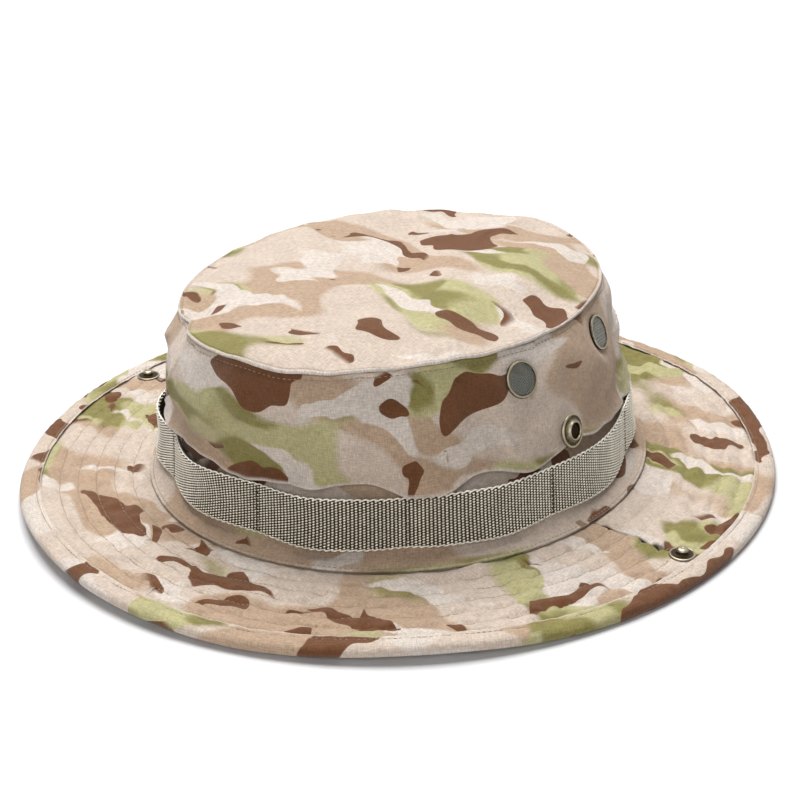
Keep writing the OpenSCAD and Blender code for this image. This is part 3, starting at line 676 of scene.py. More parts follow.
def wire_tree():
    """Round wire along the edges of a mesh."""
    tree, given = geometry_tree("wire", {"Radius": 0.15 * MM})
    path = make(tree, "GeometryNodeMeshToCurve", {"Mesh": given["Geometry"]})
    circle = make(tree, "GeometryNodeCurvePrimitiveCircle", {"Resolution": 6, "Radius": given["Radius"]})
    tube = make(tree, "GeometryNodeCurveToMesh", {
        "Curve": path.outputs[0], "Profile Curve": circle.outputs[0], "Fill Caps": True})
    return close_tree(tree, tube.outputs[0], given["Material"])


def grown(name, tree, points, edges, vectors, material, **sizes):
    """Runs a tree on a mesh of points and edges, and turns the result into a plain mesh piece."""
    mesh = bpy.data.meshes.new(name)
    mesh.from_pydata(np.asarray(points).tolist(), np.asarray(edges).tolist(), [])
    for key, values in vectors.items():
        layer = mesh.attributes.new(key, "FLOAT_VECTOR", "POINT")
        layer.data.foreach_set("vector", np.asarray(values, np.float32).ravel())
    host = new_piece(name + "_host", mesh, None)
    modifier = host.modifiers.new("grow", "NODES")
    modifier.node_group = tree
    chosen = {**sizes, "Material": material}
    for socket in tree.interface.items_tree:
        if socket.in_out == "INPUT" and socket.name in chosen:
            modifier[socket.identifier] = chosen[socket.name]
    made = bpy.data.meshes.new_from_object(host.evaluated_get(bpy.context.evaluated_depsgraph_get()))
    made.name = name
    bpy.data.objects.remove(host)
    if not made.polygons:
        raise RuntimeError(f"{name}: the tree made no faces")
    place = np.zeros(len(made.vertices) * 3, np.float32)
    made.vertices.foreach_get("co", place)
    loops = np.zeros(len(made.loops), np.int32)
    made.loops.foreach_get("vertex_index", loops)
    for layer in list(made.uv_layers):
        made.uv_layers.remove(layer)
    flat = place.reshape(-1, 3)[loops][:, :2] * UNITS
    made.uv_layers.new(name="cloth").data.foreach_set("uv", flat.ravel())
    return new_piece(name, made, material)


class Rows:
    """Collects the paths of sewn rows: points, edges between them and the surface's direction."""

    def __init__(self):
        self.points, self.edges, self.out = [], [], []

    def add(self, path, out, closed=False):
        start = sum(len(p) for p in self.points)
        count = len(path)
        run = np.arange(count if closed else count - 1)
        self.points.append(path)
        self.out.append(np.broadcast_to(out, path.shape))
        self.edges.append(np.stack([run, (run + 1) % count], 1) + start)

    def grow(self, name, tree, material, **sizes):
        points, edges, out = [np.concatenate(part) for part in (self.points, self.edges, self.out)]
        return grown(name, tree, points, edges, {"out": out}, material, **sizes)


# Materials


def shader_group(name, inputs, outputs):
    """An empty shader node group. An input without a value is a vector, one with several is a colour."""
    tree = bpy.data.node_groups.new(name, "ShaderNodeTree")
    for key, value in inputs.items():
        kind = "Vector" if value is None else "Float" if isinstance(value, float) else "Color"
        socket = tree.interface.new_socket(key, in_out="INPUT", socket_type="NodeSocket" + kind)
        if value is not None:
            socket.default_value = value
    for key, kind in outputs.items():
        tree.interface.new_socket(key, in_out="OUTPUT", socket_type="NodeSocket" + kind)
    return tree, tree.nodes.new("NodeGroupInput").outputs


def math_node(tree, operation, a, b=0.0):
    return make(tree, "ShaderNodeMath", {0: a, 1: b}, operation=operation).outputs[0]


def vector_node(tree, operation, links, result=0):
    return make(tree, "ShaderNodeVectorMath", links, operation=operation).outputs[result]


def noise(tree, place, scale, detail, rough=0.5, space="2D"):
    links = {"Vector": place, "Scale": scale, "Detail": detail, "Roughness": rough}
    return make(tree, "ShaderNodeTexNoise", links, noise_dimensions=space).outputs


def soft_step(tree, value, low, high):
    """0 below low and 1 above high, softly between."""
    return make(tree, "ShaderNodeMapRange", {
        "Value": value, "From Min": low, "From Max": high}, interpolation_type="SMOOTHSTEP").outputs[0]


def ranged(tree, value, low, high, first, last):
    """A value between low and high, moved to between first and last."""
    return make(tree, "ShaderNodeMapRange", {
        "Value": value, "From Min": low, "From Max": high, "To Min": first, "To Max": last}).outputs[0]


def mixed(tree, factor, a, b, blend="MIX"):
    """Colour b over colour a."""
    return make(tree, "ShaderNodeMix", {0: factor, 6: a, 7: b}, data_type="RGBA", blend_type=blend).outputs[2]


def toned(tree, base, tone):
    """A colour made lighter or darker by a value."""
    grey = make(tree, "ShaderNodeCombineColor", {0: tone, 1: tone, 2: tone}).outputs[0]
    return mixed(tree, 1.0, base, grey, "MULTIPLY")


def bump(tree, height, distance):
    return make(tree, "ShaderNodeBump", {"Height": height, "Distance": distance}).outputs[0]


def group_node(tree, group, links):
    return make(tree, "ShaderNodeGroup", links, node_tree=group).outputs


def to_the_eye(tree):
    """1 for light that the camera sees straight, in a reflection or through something clear."""
    path = make(tree, "ShaderNodeLightPath").outputs
    seen = math_node(tree, "MAXIMUM", path["Is Camera Ray"], path["Is Glossy Ray"])
    return math_node(tree, "MAXIMUM", seen, path["Is Transmission Ray"])


def print_group():
    """A plain spotted field print: sandy and green patches, pale strokes and dark spots."""
    tree, given = shader_group(
        "field_print", {"Place": None, **{key: (0.5, 0.5, 0.5, 1) for key in TONES}}, {"Colour": "Color"})

    def patch(place, scale, stretch, turn, offset, low, high):
        """Smooth patches, longer than they are wide."""
        moved = make(tree, "ShaderNodeMapping", {
            "Vector": place, "Location": (*offset, 0), "Rotation": (0, 0, math.radians(turn)),
            "Scale": (scale, scale * stretch, 1)})
        return soft_step(tree, noise(tree, moved.outputs[0], 1.0, 0.0)[0], low, high)

    def bent(place, scale, amount):
        """A place moved by a noise, which makes the patches lobed."""
        drift = noise(tree, place, scale, 0.0)["Color"]
        centred = vector_node(tree, "SUBTRACT", {0: drift, 1: (0.5, 0.5, 0.5)})
        return vector_node(tree, "ADD", {0: place, 1: vector_node(tree, "SCALE", {0: centred, 3: amount})})

    broad = bent(given["Place"], 2.6, 0.2)
    lobed = bent(broad, 8.0, 0.09)
    sandy = patch(broad, 1.35, 2.0, 9, (3.1, 7.7), 0.525, 0.59)
    deep = patch(lobed, 2.1, 2.2, 12, (2.3, 9.1), 0.48, 0.6)
    leafy = patch(broad, 1.1, 2.2, -7, (11.3, 2.9), 0.58, 0.64)
    strokes = patch(lobed, 2.2, 2.4, 4, (5.9, 13.1), 0.64, 0.69)
    blots = patch(lobed, 1.8, 2.0, -12, (1.7, 4.3), 0.75, 0.758)
    spots = patch(lobed, 6.0, 1.5, 16, (8.3, 6.1), 0.66, 0.68)
    flocks = patch(broad, 1.4, 1.4, 30, (14.2, 3.3), 0.61, 0.65)
    tone = mixed(tree, sandy, given["Ground"], given["Sand"])
    tone = mixed(tree, leafy, tone, mixed(tree, deep, given["Leaf"], given["Moss"]))
    tone = mixed(tree, strokes, tone, given["Pale"])
    tone = mixed(tree, blots, tone, given["Bark"])
    tone = mixed(tree, math_node(tree, "MULTIPLY", spots, flocks), tone, given["Bark"])
    make(tree, "NodeGroupOutput", {"Colour": tone})
    return tree


def weave_group():
    """A fine plain weave: height of the threads and small differences of tone."""
    tree, given = shader_group(
        "plain_weave", {"Place": None, "Threads": 700.0}, {"Height": "Float", "Tone": "Float"})
    axes = make(tree, "ShaderNodeSeparateXYZ", {0: given["Place"]}).outputs
    waves, yarns = [], []
    for axis, stretch in ((0, (210.0, 34.0, 1.0)), (1, (34.0, 210.0, 1.0))):
        turn = math_node(tree, "MULTIPLY", axes[axis], given["Threads"])
        waves.append(math_node(tree, "ABSOLUTE", math_node(tree, "SINE", turn)))
        moved = vector_node(tree, "MULTIPLY", {0: given["Place"], 1: stretch})
        yarns.append(noise(tree, moved, 1.0, 2.0, 0.6)[0])
    slub = math_node(tree, "MULTIPLY", math_node(tree, "ADD", *yarns), 0.5)
    threads = math_node(tree, "MULTIPLY", *waves)
    height = math_node(tree, "ADD", threads, math_node(tree, "MULTIPLY", slub, 2.0))
    fine = ranged(tree, slub, 0.35, 0.65, 0.78, 1.18)
    wide = ranged(tree, noise(tree, given["Place"], 9.0, 2.0)[0], 0.3, 0.7, 0.95, 1.04)
    make(tree, "NodeGroupOutput", {"Height": height, "Tone": math_node(tree, "MULTIPLY", fine, wide)})
    return tree


def wear_group():
    """Uneven plate: brighter on worn edges, darker in recesses, with a mottled finish."""
    tree, given = shader_group(
        "worn_plate",
        {"Place": None, "Worn": 0.0, "Plate": (0.3, 0.25, 0.2, 1), "Recess": (0.1, 0.1, 0.1, 1)},
        {"Colour": "Color", "Roughness": "Float", "Height": "Float"})
    cloud = noise(tree, given["Place"], 900.0, 4.0, 0.6, "3D")[0]
    mottle = math_node(tree, "MULTIPLY", math_node(tree, "SUBTRACT", cloud, 0.5), 0.7)
    mask = math_node(tree, "ADD", given["Worn"], mottle)
    tone = mixed(tree, soft_step(tree, mask, 0.05, 0.75), given["Recess"], given["Plate"])
    rough = ranged(tree, mask, 0, 1, 0.55, 0.3)
    make(tree, "NodeGroupOutput", {"Colour": tone, "Roughness": rough, "Height": cloud})
    return tree


def solid(value):
    return (*value, 1)


def new_material(name, coords):
    """A material with a Principled shader, its tree and its coordinates."""
    material = bpy.data.materials.new(name)
    material.use_nodes = True
    tree = material.node_tree
    return material, tree, make(tree, "ShaderNodeTexCoord").outputs[coords]


def finish(tree, **links):
    """Fills the Principled shader of a material."""
    fill(tree, tree.nodes["Principled BSDF"], {key.replace("_", " "): value for key, value in links.items()})


def make_materials(c):
    """All materials, by name."""
    prints, weave, wear = print_group(), weave_group(), wear_group()
    made = {}

    made["printed_cloth"], tree, place = new_material("printed_cloth", "UV")
    spread = vector_node(tree, "SCALE", {0: place, 3: c.print_scale})
    inks = {key: solid(getattr(c, key.lower())) for key in TONES}
    tone = group_node(tree, prints, {"Place": spread, **inks})["Colour"]
    threads = group_node(tree, weave, {"Place": place})
    # Where edge is above 0 the cloth is painted paler on folded edges and the welt, as wear and as painted
    # highlight
    edge = make(tree, "ShaderNodeAttribute", attribute_name="edge").outputs["Fac"]
    tone = mixed(tree, soft_step(tree, edge, 0.05, 1.2), tone, solid(c.pale))
    # Where edge is below 0 painted shade darkens seams, quilted channels and the band under the hem
    shade = soft_step(tree, math_node(tree, "MULTIPLY", edge, -1.0), 0.1, 0.9)
    tone = mixed(tree, shade, tone, solid(c.patina_and_painted_shade))
    finish(tree, Base_Color=toned(tree, tone, threads["Tone"]),
           Normal=bump(tree, threads["Height"], 0.12 * MM),
           Roughness=0.88, Specular_IOR_Level=0.1, Sheen_Weight=0.22, Sheen_Roughness=0.4)

    matt = {"Roughness": 0.9, "Specular_IOR_Level": 0.2, "Sheen_Weight": 0.03}
    nylon = {"Roughness": 0.2, "Specular_IOR_Level": 1.0,
             "Coat_Weight": 1.0, "Coat_IOR": 2.4, "Coat_Roughness": 0.25}
    woven = {
        "lining_cloth": (c.lining, 620.0, 0.12 * MM, matt),
        "web_ground_cloth": (c.web_ground, 520.0, 0.15 * MM, matt),
        "thread": (c.thread, 2600.0, 0.05 * MM, {"Roughness": 0.75, "Specular_IOR_Level": 0.4}),
        "web_thread": (c.web_thread, 2600.0, 0.05 * MM, nylon),
        "tack": (c.tack, 2600.0, 0.05 * MM, {"Roughness": 0.8, "Specular_IOR_Level": 0.3}),
    }
    for name, (base, count, depth, look) in woven.items():
        made[name], tree, place = new_material(name, "UV")
        threads = group_node(tree, weave, {"Place": place, "Threads": count})
        finish(tree, Base_Color=toned(tree, solid(base), threads["Tone"]),
               Normal=bump(tree, threads["Height"], depth), **look)

    for name, plate in (("antique_metal", c.metal), ("antique_screen", c.screen)):
        made[name], tree, place = new_material(name, "Object")
        worn = 0.6
        if name == "antique_metal":
            worn = make(tree, "ShaderNodeAttribute", attribute_name="worn").outputs["Fac"]
        plated = group_node(tree, wear, {
            "Place": place, "Worn": worn, "Plate": solid(plate), "Recess": solid(c.patina_and_painted_shade)})
        finish(tree, Metallic=1.0, Base_Color=plated["Colour"], Roughness=plated["Roughness"],
               Normal=bump(tree, plated["Height"], 0.03 * MM))
    return made


# Operators, one for each piece or group of pieces


class Workshop:
    """What the operators share while the hat is built."""
    form = None
    materials = None
    trees = None


def ready(context):
    """The form, materials and trees, made when they are first asked for."""
    if Workshop.form is None:
        Workshop.form = Form(context.scene.hat_sizes)
        Workshop.materials = make_materials(context.scene.hat_colours)
        Workshop.trees = {"stitch": stitch_tree(), "weave": weave_tree(), "wire": wire_tree()}
    return Workshop.form, Workshop.materials, Workshop.trees


def steps_round(count, start=math.pi / 2):
    """Angles once round, counter-clockwise, from the back seam unless another start is given."""
    return start + 2 * math.pi * np.arange(count) / count


def flat_place(grid):
    """How far a grid's columns and rows lie from the first ones, measured along the surface."""
    along = np.linalg.norm(np.diff(grid, axis=1), axis=-1).mean(0)
    across = np.linalg.norm(np.diff(grid, axis=0), axis=-1).mean(1)
    return [np.concatenate([[0], np.cumsum(steps)]) for steps in (along, across)]


def strip_uv(grid, start=(0, 0)):
    """Flat place of a closed strip's points: along the strip and down it."""
    along = flat_place(np.concatenate([grid, grid[:, :1]], 1))[0]
    return np.stack(np.meshgrid(along, -flat_place(grid)[1]), -1) * UNITS + start


def on_crown(piece, slot, *nodes):
    """Lets a piece ride on the crown and hides the CAD nodes that it replaces. Its slot is not used."""
    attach(piece, CROWN)
    if nodes:
        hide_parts(*nodes)


def strip(name, node, faces, uv, material, slot, hold, rests, **more):
    """A closed strip of cloth on the crown, which replaces a CAD node."""
    piece = cloth(name, *faces, uv, True, material, **more)
    on_crown(piece, slot, node)


def brim_half(outer, inner, sign):
    """Both faces of a brim half and their normals, without the columns beyond its ends, turned outwards."""
    grids = [grid[:, 1:-1][:, ::sign] for grid in (outer, inner, grid_normals(outer), -grid_normals(inner))]
    return grids[0], grids[1], [sign * grid for grid in grids[2:]]


def on_brim(piece, side, *layers):
    """Bakes a brim piece in place. A right one replaces layers of the front and back too."""
    s, sign = Workshop.form.s, SIDES[side]
    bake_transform(piece)
    if layers:
        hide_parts(*[f"{side}_flap_{layer}" for layer in layers])
    if layers and sign > 0:
        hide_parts(*[f"brim_{end}_{layer}" for end in ("front", "back") for layer in layers])


def plate(material, *names):
    """Shows CAD nodes as they are, in metal."""
    for name in names:
        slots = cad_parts[name].data.materials
        slots.clear()
        slots.append(material)


class HAT_OT_stage(bpy.types.Operator):
    """Makes the camera, the floor and the light"""
    bl_idname = "hat.stage"
    bl_label = "Stage"

    def execute(self, context):
        g, scene = context.scene.hat_stage, context.scene
        scene.view_settings.view_transform = "Standard"
        lens = bpy.data.cameras.new("camera")
        lens.lens, lens.sensor_width, lens.clip_start, lens.clip_end = g.lens, 36, 0.01, 50
        turn = Matrix.Rotation(g.azimuth, 3, "Z") @ Matrix.Rotation(math.pi / 2 - g.elevation, 3, "X")
        place = Vector((0, 0, g.middle_z)) + turn @ Vector((g.across, g.above, g.distance))
        scene.camera = self.put("camera", lens, place, turn @ Matrix.Rotation(g.roll, 3, "Z"))

        mesh = bpy.data.meshes.new("floor")
        corners = [(x * PAPER_HALF, y * PAPER_HALF, 0) for x, y in ((-1, -1), (1, -1), (1, 1), (-1, 1))]
        mesh.from_pydata(corners, [], [(0, 1, 2, 3)])
        new_piece("floor", mesh, self.floor_paint())
        for name, share, size, place in LAMPS:
            self.lamp(name, g.key * share, size, place)
        scene.world = scene.world or bpy.data.worlds.new("world")
        scene.world.use_nodes = True
        tree = scene.world.node_tree
        tree.nodes.clear()
        strength = ranged(tree, to_the_eye(tree), 0, 1, g.fill, 1)
        sky = make(tree, "ShaderNodeBackground", {"Color": WHITE, "Strength": strength})
        make(tree, "ShaderNodeOutputWorld", {"Surface": sky.outputs[0]})
        return {"FINISHED"}

    def put(self, name, data, place, turn):
        item = bpy.data.objects.new(name, data)
        bpy.context.scene.collection.objects.link(item)
        item.matrix_world = Matrix.Translation(place) @ turn.to_4x4()
        return item

    def lamp(self, name, power, size, place):
        """A soft lamp that faces the hat."""
        light = bpy.data.lights.new(name, "AREA")
        light.energy, light.size = power, size
        way = Vector((0, 0, 0.03)) - Vector(place)
        self.put(name, light, place, way.to_track_quat("-Z", "Y").to_matrix())

    def floor_paint(self):
        """White paper that glows far from the hat for what is seen, and is clear from below."""
        material, tree, place = new_material("white_paper", "Object")
        tree.nodes.remove(tree.nodes["Principled BSDF"])
        away = vector_node(tree, "LENGTH", {0: place}, "Value")
        shine = math_node(tree, "MULTIPLY", to_the_eye(tree), soft_step(tree, away, *GLOW))
        glow = make(tree, "ShaderNodeEmission", {"Color": WHITE, "Strength": shine})
        paper = make(tree, "ShaderNodeBsdfDiffuse", {"Color": PAPER})
        both = make(tree, "ShaderNodeAddShader", {0: paper.outputs[0], 1: glow.outputs[0]})
        below = make(tree, "ShaderNodeNewGeometry").outputs["Backfacing"]
        clear = make(tree, "ShaderNodeBsdfTransparent")
        sheet = make(tree, "ShaderNodeMixShader", {0: below, 1: both.outputs[0], 2: clear.outputs[0]})
        fill(tree, tree.nodes["Material Output"], {"Surface": sheet.outputs[0]})
        return material


class HAT_OT_crown_top(bpy.types.Operator):
    """Makes the domed top panel with the welt of its seam"""
    bl_idname = "hat.crown_top"
    bl_label = "Crown top"

    def execute(self, context):
        form, materials, _ = ready(context)
        s = form.s
        q = np.concatenate([np.linspace(0, 0.95, TOP_ROWS), np.linspace(0.957, 1, RIM_ROWS)])[:, None]
        t = steps_round(TOP_COLS)[None, :]
        z = form.seam_z + 0.3 * MM + s.dome_rise * (1 - q ** 2) + q ** 3 * form.rim_sag(t)
        base = oval(form.rim_a * q, form.rim_b * q, t, z)
        base[..., 1] -= s.top_lean
        rise = self.rise(form, base, q, t)
        base[..., :2] *= (1 - form.pinch(q, t) / form.rim_b)[..., None]
        outer, inner = base.copy(), base.copy()
        outer[..., 2] += rise
        inner[..., 2] += np.minimum(rise - 0.45 * MM, (1 - q ** 8) * (rise - s.cloth_t))
        uv = np.concatenate([outer, outer[:, :1]], 1)[..., :2] * UNITS + CUTS["top"]
        inward = (1 - q) * form.rim_r
        # A paler welt, as wear and as painted highlight, and a line of painted shade just inside it
        edge = 1.3 * near(inward - 0.3 * MM, 0.5 * MM) - 0.4 * near(inward - 1.7 * MM, 0.5 * MM) + 0 * t
        piece = cloth("crown_top_cloth", outer, inner, uv, True, materials["printed_cloth"], edge=edge)
        clean(piece.data)
        on_crown(piece, "printed_cloth", "crown_top")
        return {"FINISHED"}

    def rise(self, form, base, q, t):
        """Height of the cloth over a smooth dome: its welt, soft folds, and the dent at the front left."""
        inward = (1 - q) * form.rim_r
        calm = 1 - q ** 8
        ring = oval(form.rim_a, form.rim_b, t + 0 * q, 0)
        welt = ridges(inward, (-0.6, 0, 7), (-0.45, 0, 0.25), (0.4, 0.5, 0.4), (-0.2, 1.5, 0.6))
        rise = form.s.cloth_t + welt + calm * relief(base, (2.4, 84, 41), (1.3, 34, 42))
        rise = rise + near(inward - 6 * MM, 5 * MM) * relief(ring, (0.5, 10, 43))
        skew = (base[..., 0] + 0.6 * base[..., 1]) / (34 * MM) + 1.3 * ripple(base, 80 * MM, 46)
        folds = crease(skew) * np.clip(0.2 + ripple(base, 60 * MM, 47), 0, 1)
        rise = rise + calm * ridges(inward, (1.7, 24, 20)) * folds
        along = turn_between(t, DENT_TURN) * form.rim_r
        rise = rise + ridges(along, (-5.0, 0, 9)) * near(inward - 8 * MM, 6.5 * MM)
        return rise + ridges(along, (1.5, 14, 5)) * near(inward - 9 * MM, 8 * MM)


class HAT_OT_crown_side(bpy.types.Operator):
    """Makes the crown's side with its wrinkles, vent holes and folded hem"""
    bl_idname = "hat.crown_side"
    bl_label = "Crown side"

    def execute(self, context):
        form, materials, _ = ready(context)
        s = form.s
        q, t = np.linspace(1, 0, SIDE_ROWS)[:, None], steps_round(SIDE_COLS)[None, :]
        inset = s.cloth_t + (s.hem_t - s.cloth_t) * np.clip(1 - q * s.side_h / (4 * MM), 0, 1)
        round_in = ridges(q * s.side_h, (0.5, 0, 0.5))
        faces = form.side(q, t, round_in), form.side(q, t, inset - round_in)
        holes = np.zeros((SIDE_ROWS - 1, SIDE_COLS), bool)
        for seat in form.vents:
            holes |= self.pierce(*faces, seat)
        # A paler line on the hem's fold, as wear and as painted highlight, and painted shade along the top
        # under the welt
        edge = 1.5 * near(q * s.side_h, 1.0 * MM) - 0.6 * near((1 - q) * s.side_h, 0.7 * MM) + 0 * t
        strip("crown_side_cloth", "crown_side", faces, strip_uv(faces[0], CUTS["side"]),
              materials["printed_cloth"], "printed_cloth", "stretched", ["collar_band"],
              holes=holes, edge=edge)
        return {"FINISHED"}

    def pierce(self, outer, inner, seat):
        """Marks the cells inside a vent's hole and draws the hole's rim to a circle."""
        back = np.array(seat.inverted())
        local = outer @ back[:3, :3].T + back[:3, 3]
        flat = np.where(np.abs(local[..., 2]) < 6 * MM, np.linalg.norm(local[..., :2], axis=-1), 1)
        wide = np.concatenate([flat, flat[:, :1]], 1)
        farthest = np.maximum.reduce([wide[:-1, :-1], wide[1:, :-1], wide[:-1, 1:], wide[1:, 1:]])
        hole = farthest < VENT_HOLE + 0.35 * MM
        gone = np.zeros(flat.shape, int)
        for dr in (0, 1):
            for dc in (0, 1):
                gone[dr:dr + len(hole)] += np.roll(hole, dc, axis=1)
        rim = (gone > 0) & (gone < 4)
        move = local[..., :2] * (VENT_HOLE / np.maximum(flat, 1e-9) - 1)[..., None]
        ahead = np.array(seat.to_3x3())
        for grid in (outer, inner):
            grid[rim] += (move @ ahead[:, :2].T)[rim]
        return hole


class HAT_OT_collar(bpy.types.Operator):
    """Makes the collar band behind the webbing and the sweatband inside it"""
    bl_idname = "hat.collar"
    bl_label = "Collar and sweatband"

    def execute(self, context):
        form, materials, _ = ready(context)
        s = form.s
        t = steps_round(COLLAR_COLS)[None, :]
        faces = []
        for off in (0, s.band_t):
            path = form.band_path(off)
            grid = oval(path[:, :1], path[:, 1:2], t, path[:, 2:])
            z, ring = grid[..., 2], grid * LEVEL
            low = np.clip((form.flare_z + 4 * MM - z) / (8 * MM), 0, 1)
            low = low * np.clip((z - s.collar_z) / (2 * MM), 0, 1)
            grid[..., 2] += low * relief(ring, (0.35, 13, 51), (0.4, 40, 52))
            faces.append(grid)
        outer = faces[0]
        # A paler line along the flare's edge, as wear and as painted highlight, and painted shade on the band
        # between webbing and hem
        edge = 0.4 * near(np.linalg.norm(outer - outer[-1:], axis=-1), 0.6 * MM)
        edge = edge - 0.22 * np.clip((outer[..., 2] - form.web_top + MM) / (3 * MM), 0, 1)
        strip("collar_band_cloth", "collar_band", faces, strip_uv(outer, CUTS["collar"]),
              materials["printed_cloth"], "printed_cloth", "stretched",
              ["brim_front_upper", "brim_back_upper"], edge=edge)

        top_in, low_in = s.hem_t + 0.6 * MM + s.band_t, s.band_t + 0.3 * MM
        bends = np.array([
            (s.hem_a - top_in, s.hem_b - top_in, s.hem_z - 0.3 * MM),
            (s.hem_a - top_in, s.hem_b - top_in, s.hem_z - 2.6 * MM),
            (s.band_a - s.band_lean - low_in, s.band_b - s.band_lean - low_in, form.web_top - 2.6 * MM),
            (s.band_a - low_in, s.band_b - low_in, form.flare_z - 0.3 * MM),
            (s.band_a - low_in, s.band_b - low_in, s.root_z - s.brim_t),
        ])
        at = np.concatenate([[0], np.cumsum(np.linalg.norm(np.diff(bends, axis=0), axis=1))])
        fine = np.linspace(0, at[-1], 30)
        a, b, z = [np.interp(fine, at, bends[:, k])[:, None] for k in range(3)]
        outer = oval(a, b, t, z)
        swell = 0.35 * MM * np.sin(math.pi * np.clip((fine / at[-1] - 0.08) / 0.84, 0, 1))[:, None]
        thick = 1.2 * MM + swell + relief(outer, (0.12, 9, 53))
        strip("sweatband_cloth", "sweatband", (outer, oval(a - thick, b - thick, t, z)), strip_uv(outer),
              materials["lining_cloth"], "plain_cloth", "stretched", ["collar_band"])
        return {"FINISHED"}


class HAT_OT_webbing(bpy.types.Operator):
    """Makes the webbing with its raised threads and sewn tacks"""
    bl_idname = "hat.webbing"
    bl_label = "Webbing"

    def execute(self, context):
        form, materials, trees = ready(context)
        t, v = steps_round(WEAVE_COLS * 2, FIRST_TACK)[None, :], np.linspace(0.985, 0.015, 10)[:, None]
        faces = [form.webbing(t, v, off) for off in (0.85 * MM, 0.1 * MM)]
        strip("webbing_strip", "webbing_band", faces, strip_uv(faces[0]), materials["web_ground_cloth"],
              "webbing", "gathered", ["collar_band"])

        light = materials["web_thread"]
        places, vectors = self.threads(form)
        on_crown(grown("webbing_threads", trees["weave"], places, [], vectors, light, **PICK), "webbing")

        loops = Rows()
        t = steps_round(WEAVE_COLS * 4, FIRST_TACK)
        arch = np.abs(np.sin((t - FIRST_TACK) * WEAVE_COLS / 4))
        for share, way in ((0.99, 1), (0.01, -1)):
            loops.add(form.webbing(t, share + way * 0.03 * arch, 0.5 * MM), (0, 0, way), closed=True)
        on_crown(loops.grow("webbing_edges", trees["wire"], light, Radius=0.36 * MM), "webbing")

        tacks = Rows()
        share = np.linspace(0.06, 0.94, 12)
        for k in range(TACKS):
            turn = FIRST_TACK + k * TACK_TURN
            for nudge in (0, 0.009):
                line = form.webbing(np.full(len(share), turn + nudge), share, 1.3 * MM)
                tacks.add(line, (math.cos(turn), math.sin(turn), 0))
        on_crown(tacks.grow("webbing_tacks", trees["stitch"], materials["tack"], **TACK), "webbing")
        return {"FINISHED"}

    def threads(self, form):
        """Places and directions of the raised threads: all rows outside, the edge rows inside too."""
        places, outs, alongs = [], [], []
        for face, off in ((1, 0.88 * MM), (-1, 0.12 * MM)):
            for odd in (0, 1):
                turn = FIRST_TACK + 2 * math.pi * (np.arange(WEAVE_COLS // 2) * 2 + odd + 0.5) / WEAVE_COLS
                share = (np.arange(WEAVE_ROWS) + 0.25 + 0.5 * odd) / WEAVE_ROWS
                t, v = np.meshgrid(turn, share if face > 0 else share[[0, -1]])
                place = form.webbing(t, v, off)
                side = unit(form.webbing(t + 1e-3, v, off) - place)
                up = unit(form.webbing(t, v + 1e-3, off) - place)
                places.append(place.reshape(-1, 3))
                outs.append(face * np.cross(side, up).reshape(-1, 3))
                alongs.append((0.92 * side + 0.38 * up).reshape(-1, 3))
        return np.concatenate(places), {"out": np.concatenate(outs), "along": np.concatenate(alongs)}


class HAT_OT_brim(bpy.types.Operator):
    """Makes the quilted brim as two halves"""
    bl_idname = "hat.brim"
    bl_label = "Brim"

    def execute(self, context):
        form, materials, _ = ready(context)
        s = form.s
        inner_edge = -s.flare_w - s.band_t
        rails = np.concatenate([
            [inner_edge, -6 * MM, -3 * MM, -1.2 * MM], np.linspace(0, form.quilt_w, 61),
            form.quilt_w + np.array([1.4, 3, 4.8]) * MM, [s.brim_w - 2.1 * MM]])
        t = form.brim_angles(rails)
        d = rails[:, None] + 0 * t
        for side, sign in SIDES.items():
            top, low, normals = brim_half(form.brim_top(d, t, sign), form.brim_under(d, t, sign), sign)
            away = d[:, 1:-1][:, ::sign]
            # Painted shade in the stitched channels, along the collar's edge and in the open side seam,
            # passed on as negative edge
            channel = near(form.rib(away, top) + 1, 0.3) * ((away > 2 * MM) & (away < form.quilt_w - 2 * MM))
            dark = np.maximum(0.37 * channel, 0.55 * near(away - 0.1 * MM, 0.35 * MM))
            at_front = (np.arange(FRONT_COLS + BACK_COLS) < FRONT_COLS)[::sign]
            uv = top[..., :2] * UNITS + CUTS["brim"]
            piece = cloth(f"brim_{side}_quilting", top, low, uv, False, materials["printed_cloth"],
                          shift=np.where(at_front[:, None], 0, BACK_CUT),
                          edge=-np.maximum(form.side_seam(away, top), dark), normals=normals)
            on_brim(piece, side, "upper", "lining", "lower")
        return {"FINISHED"}


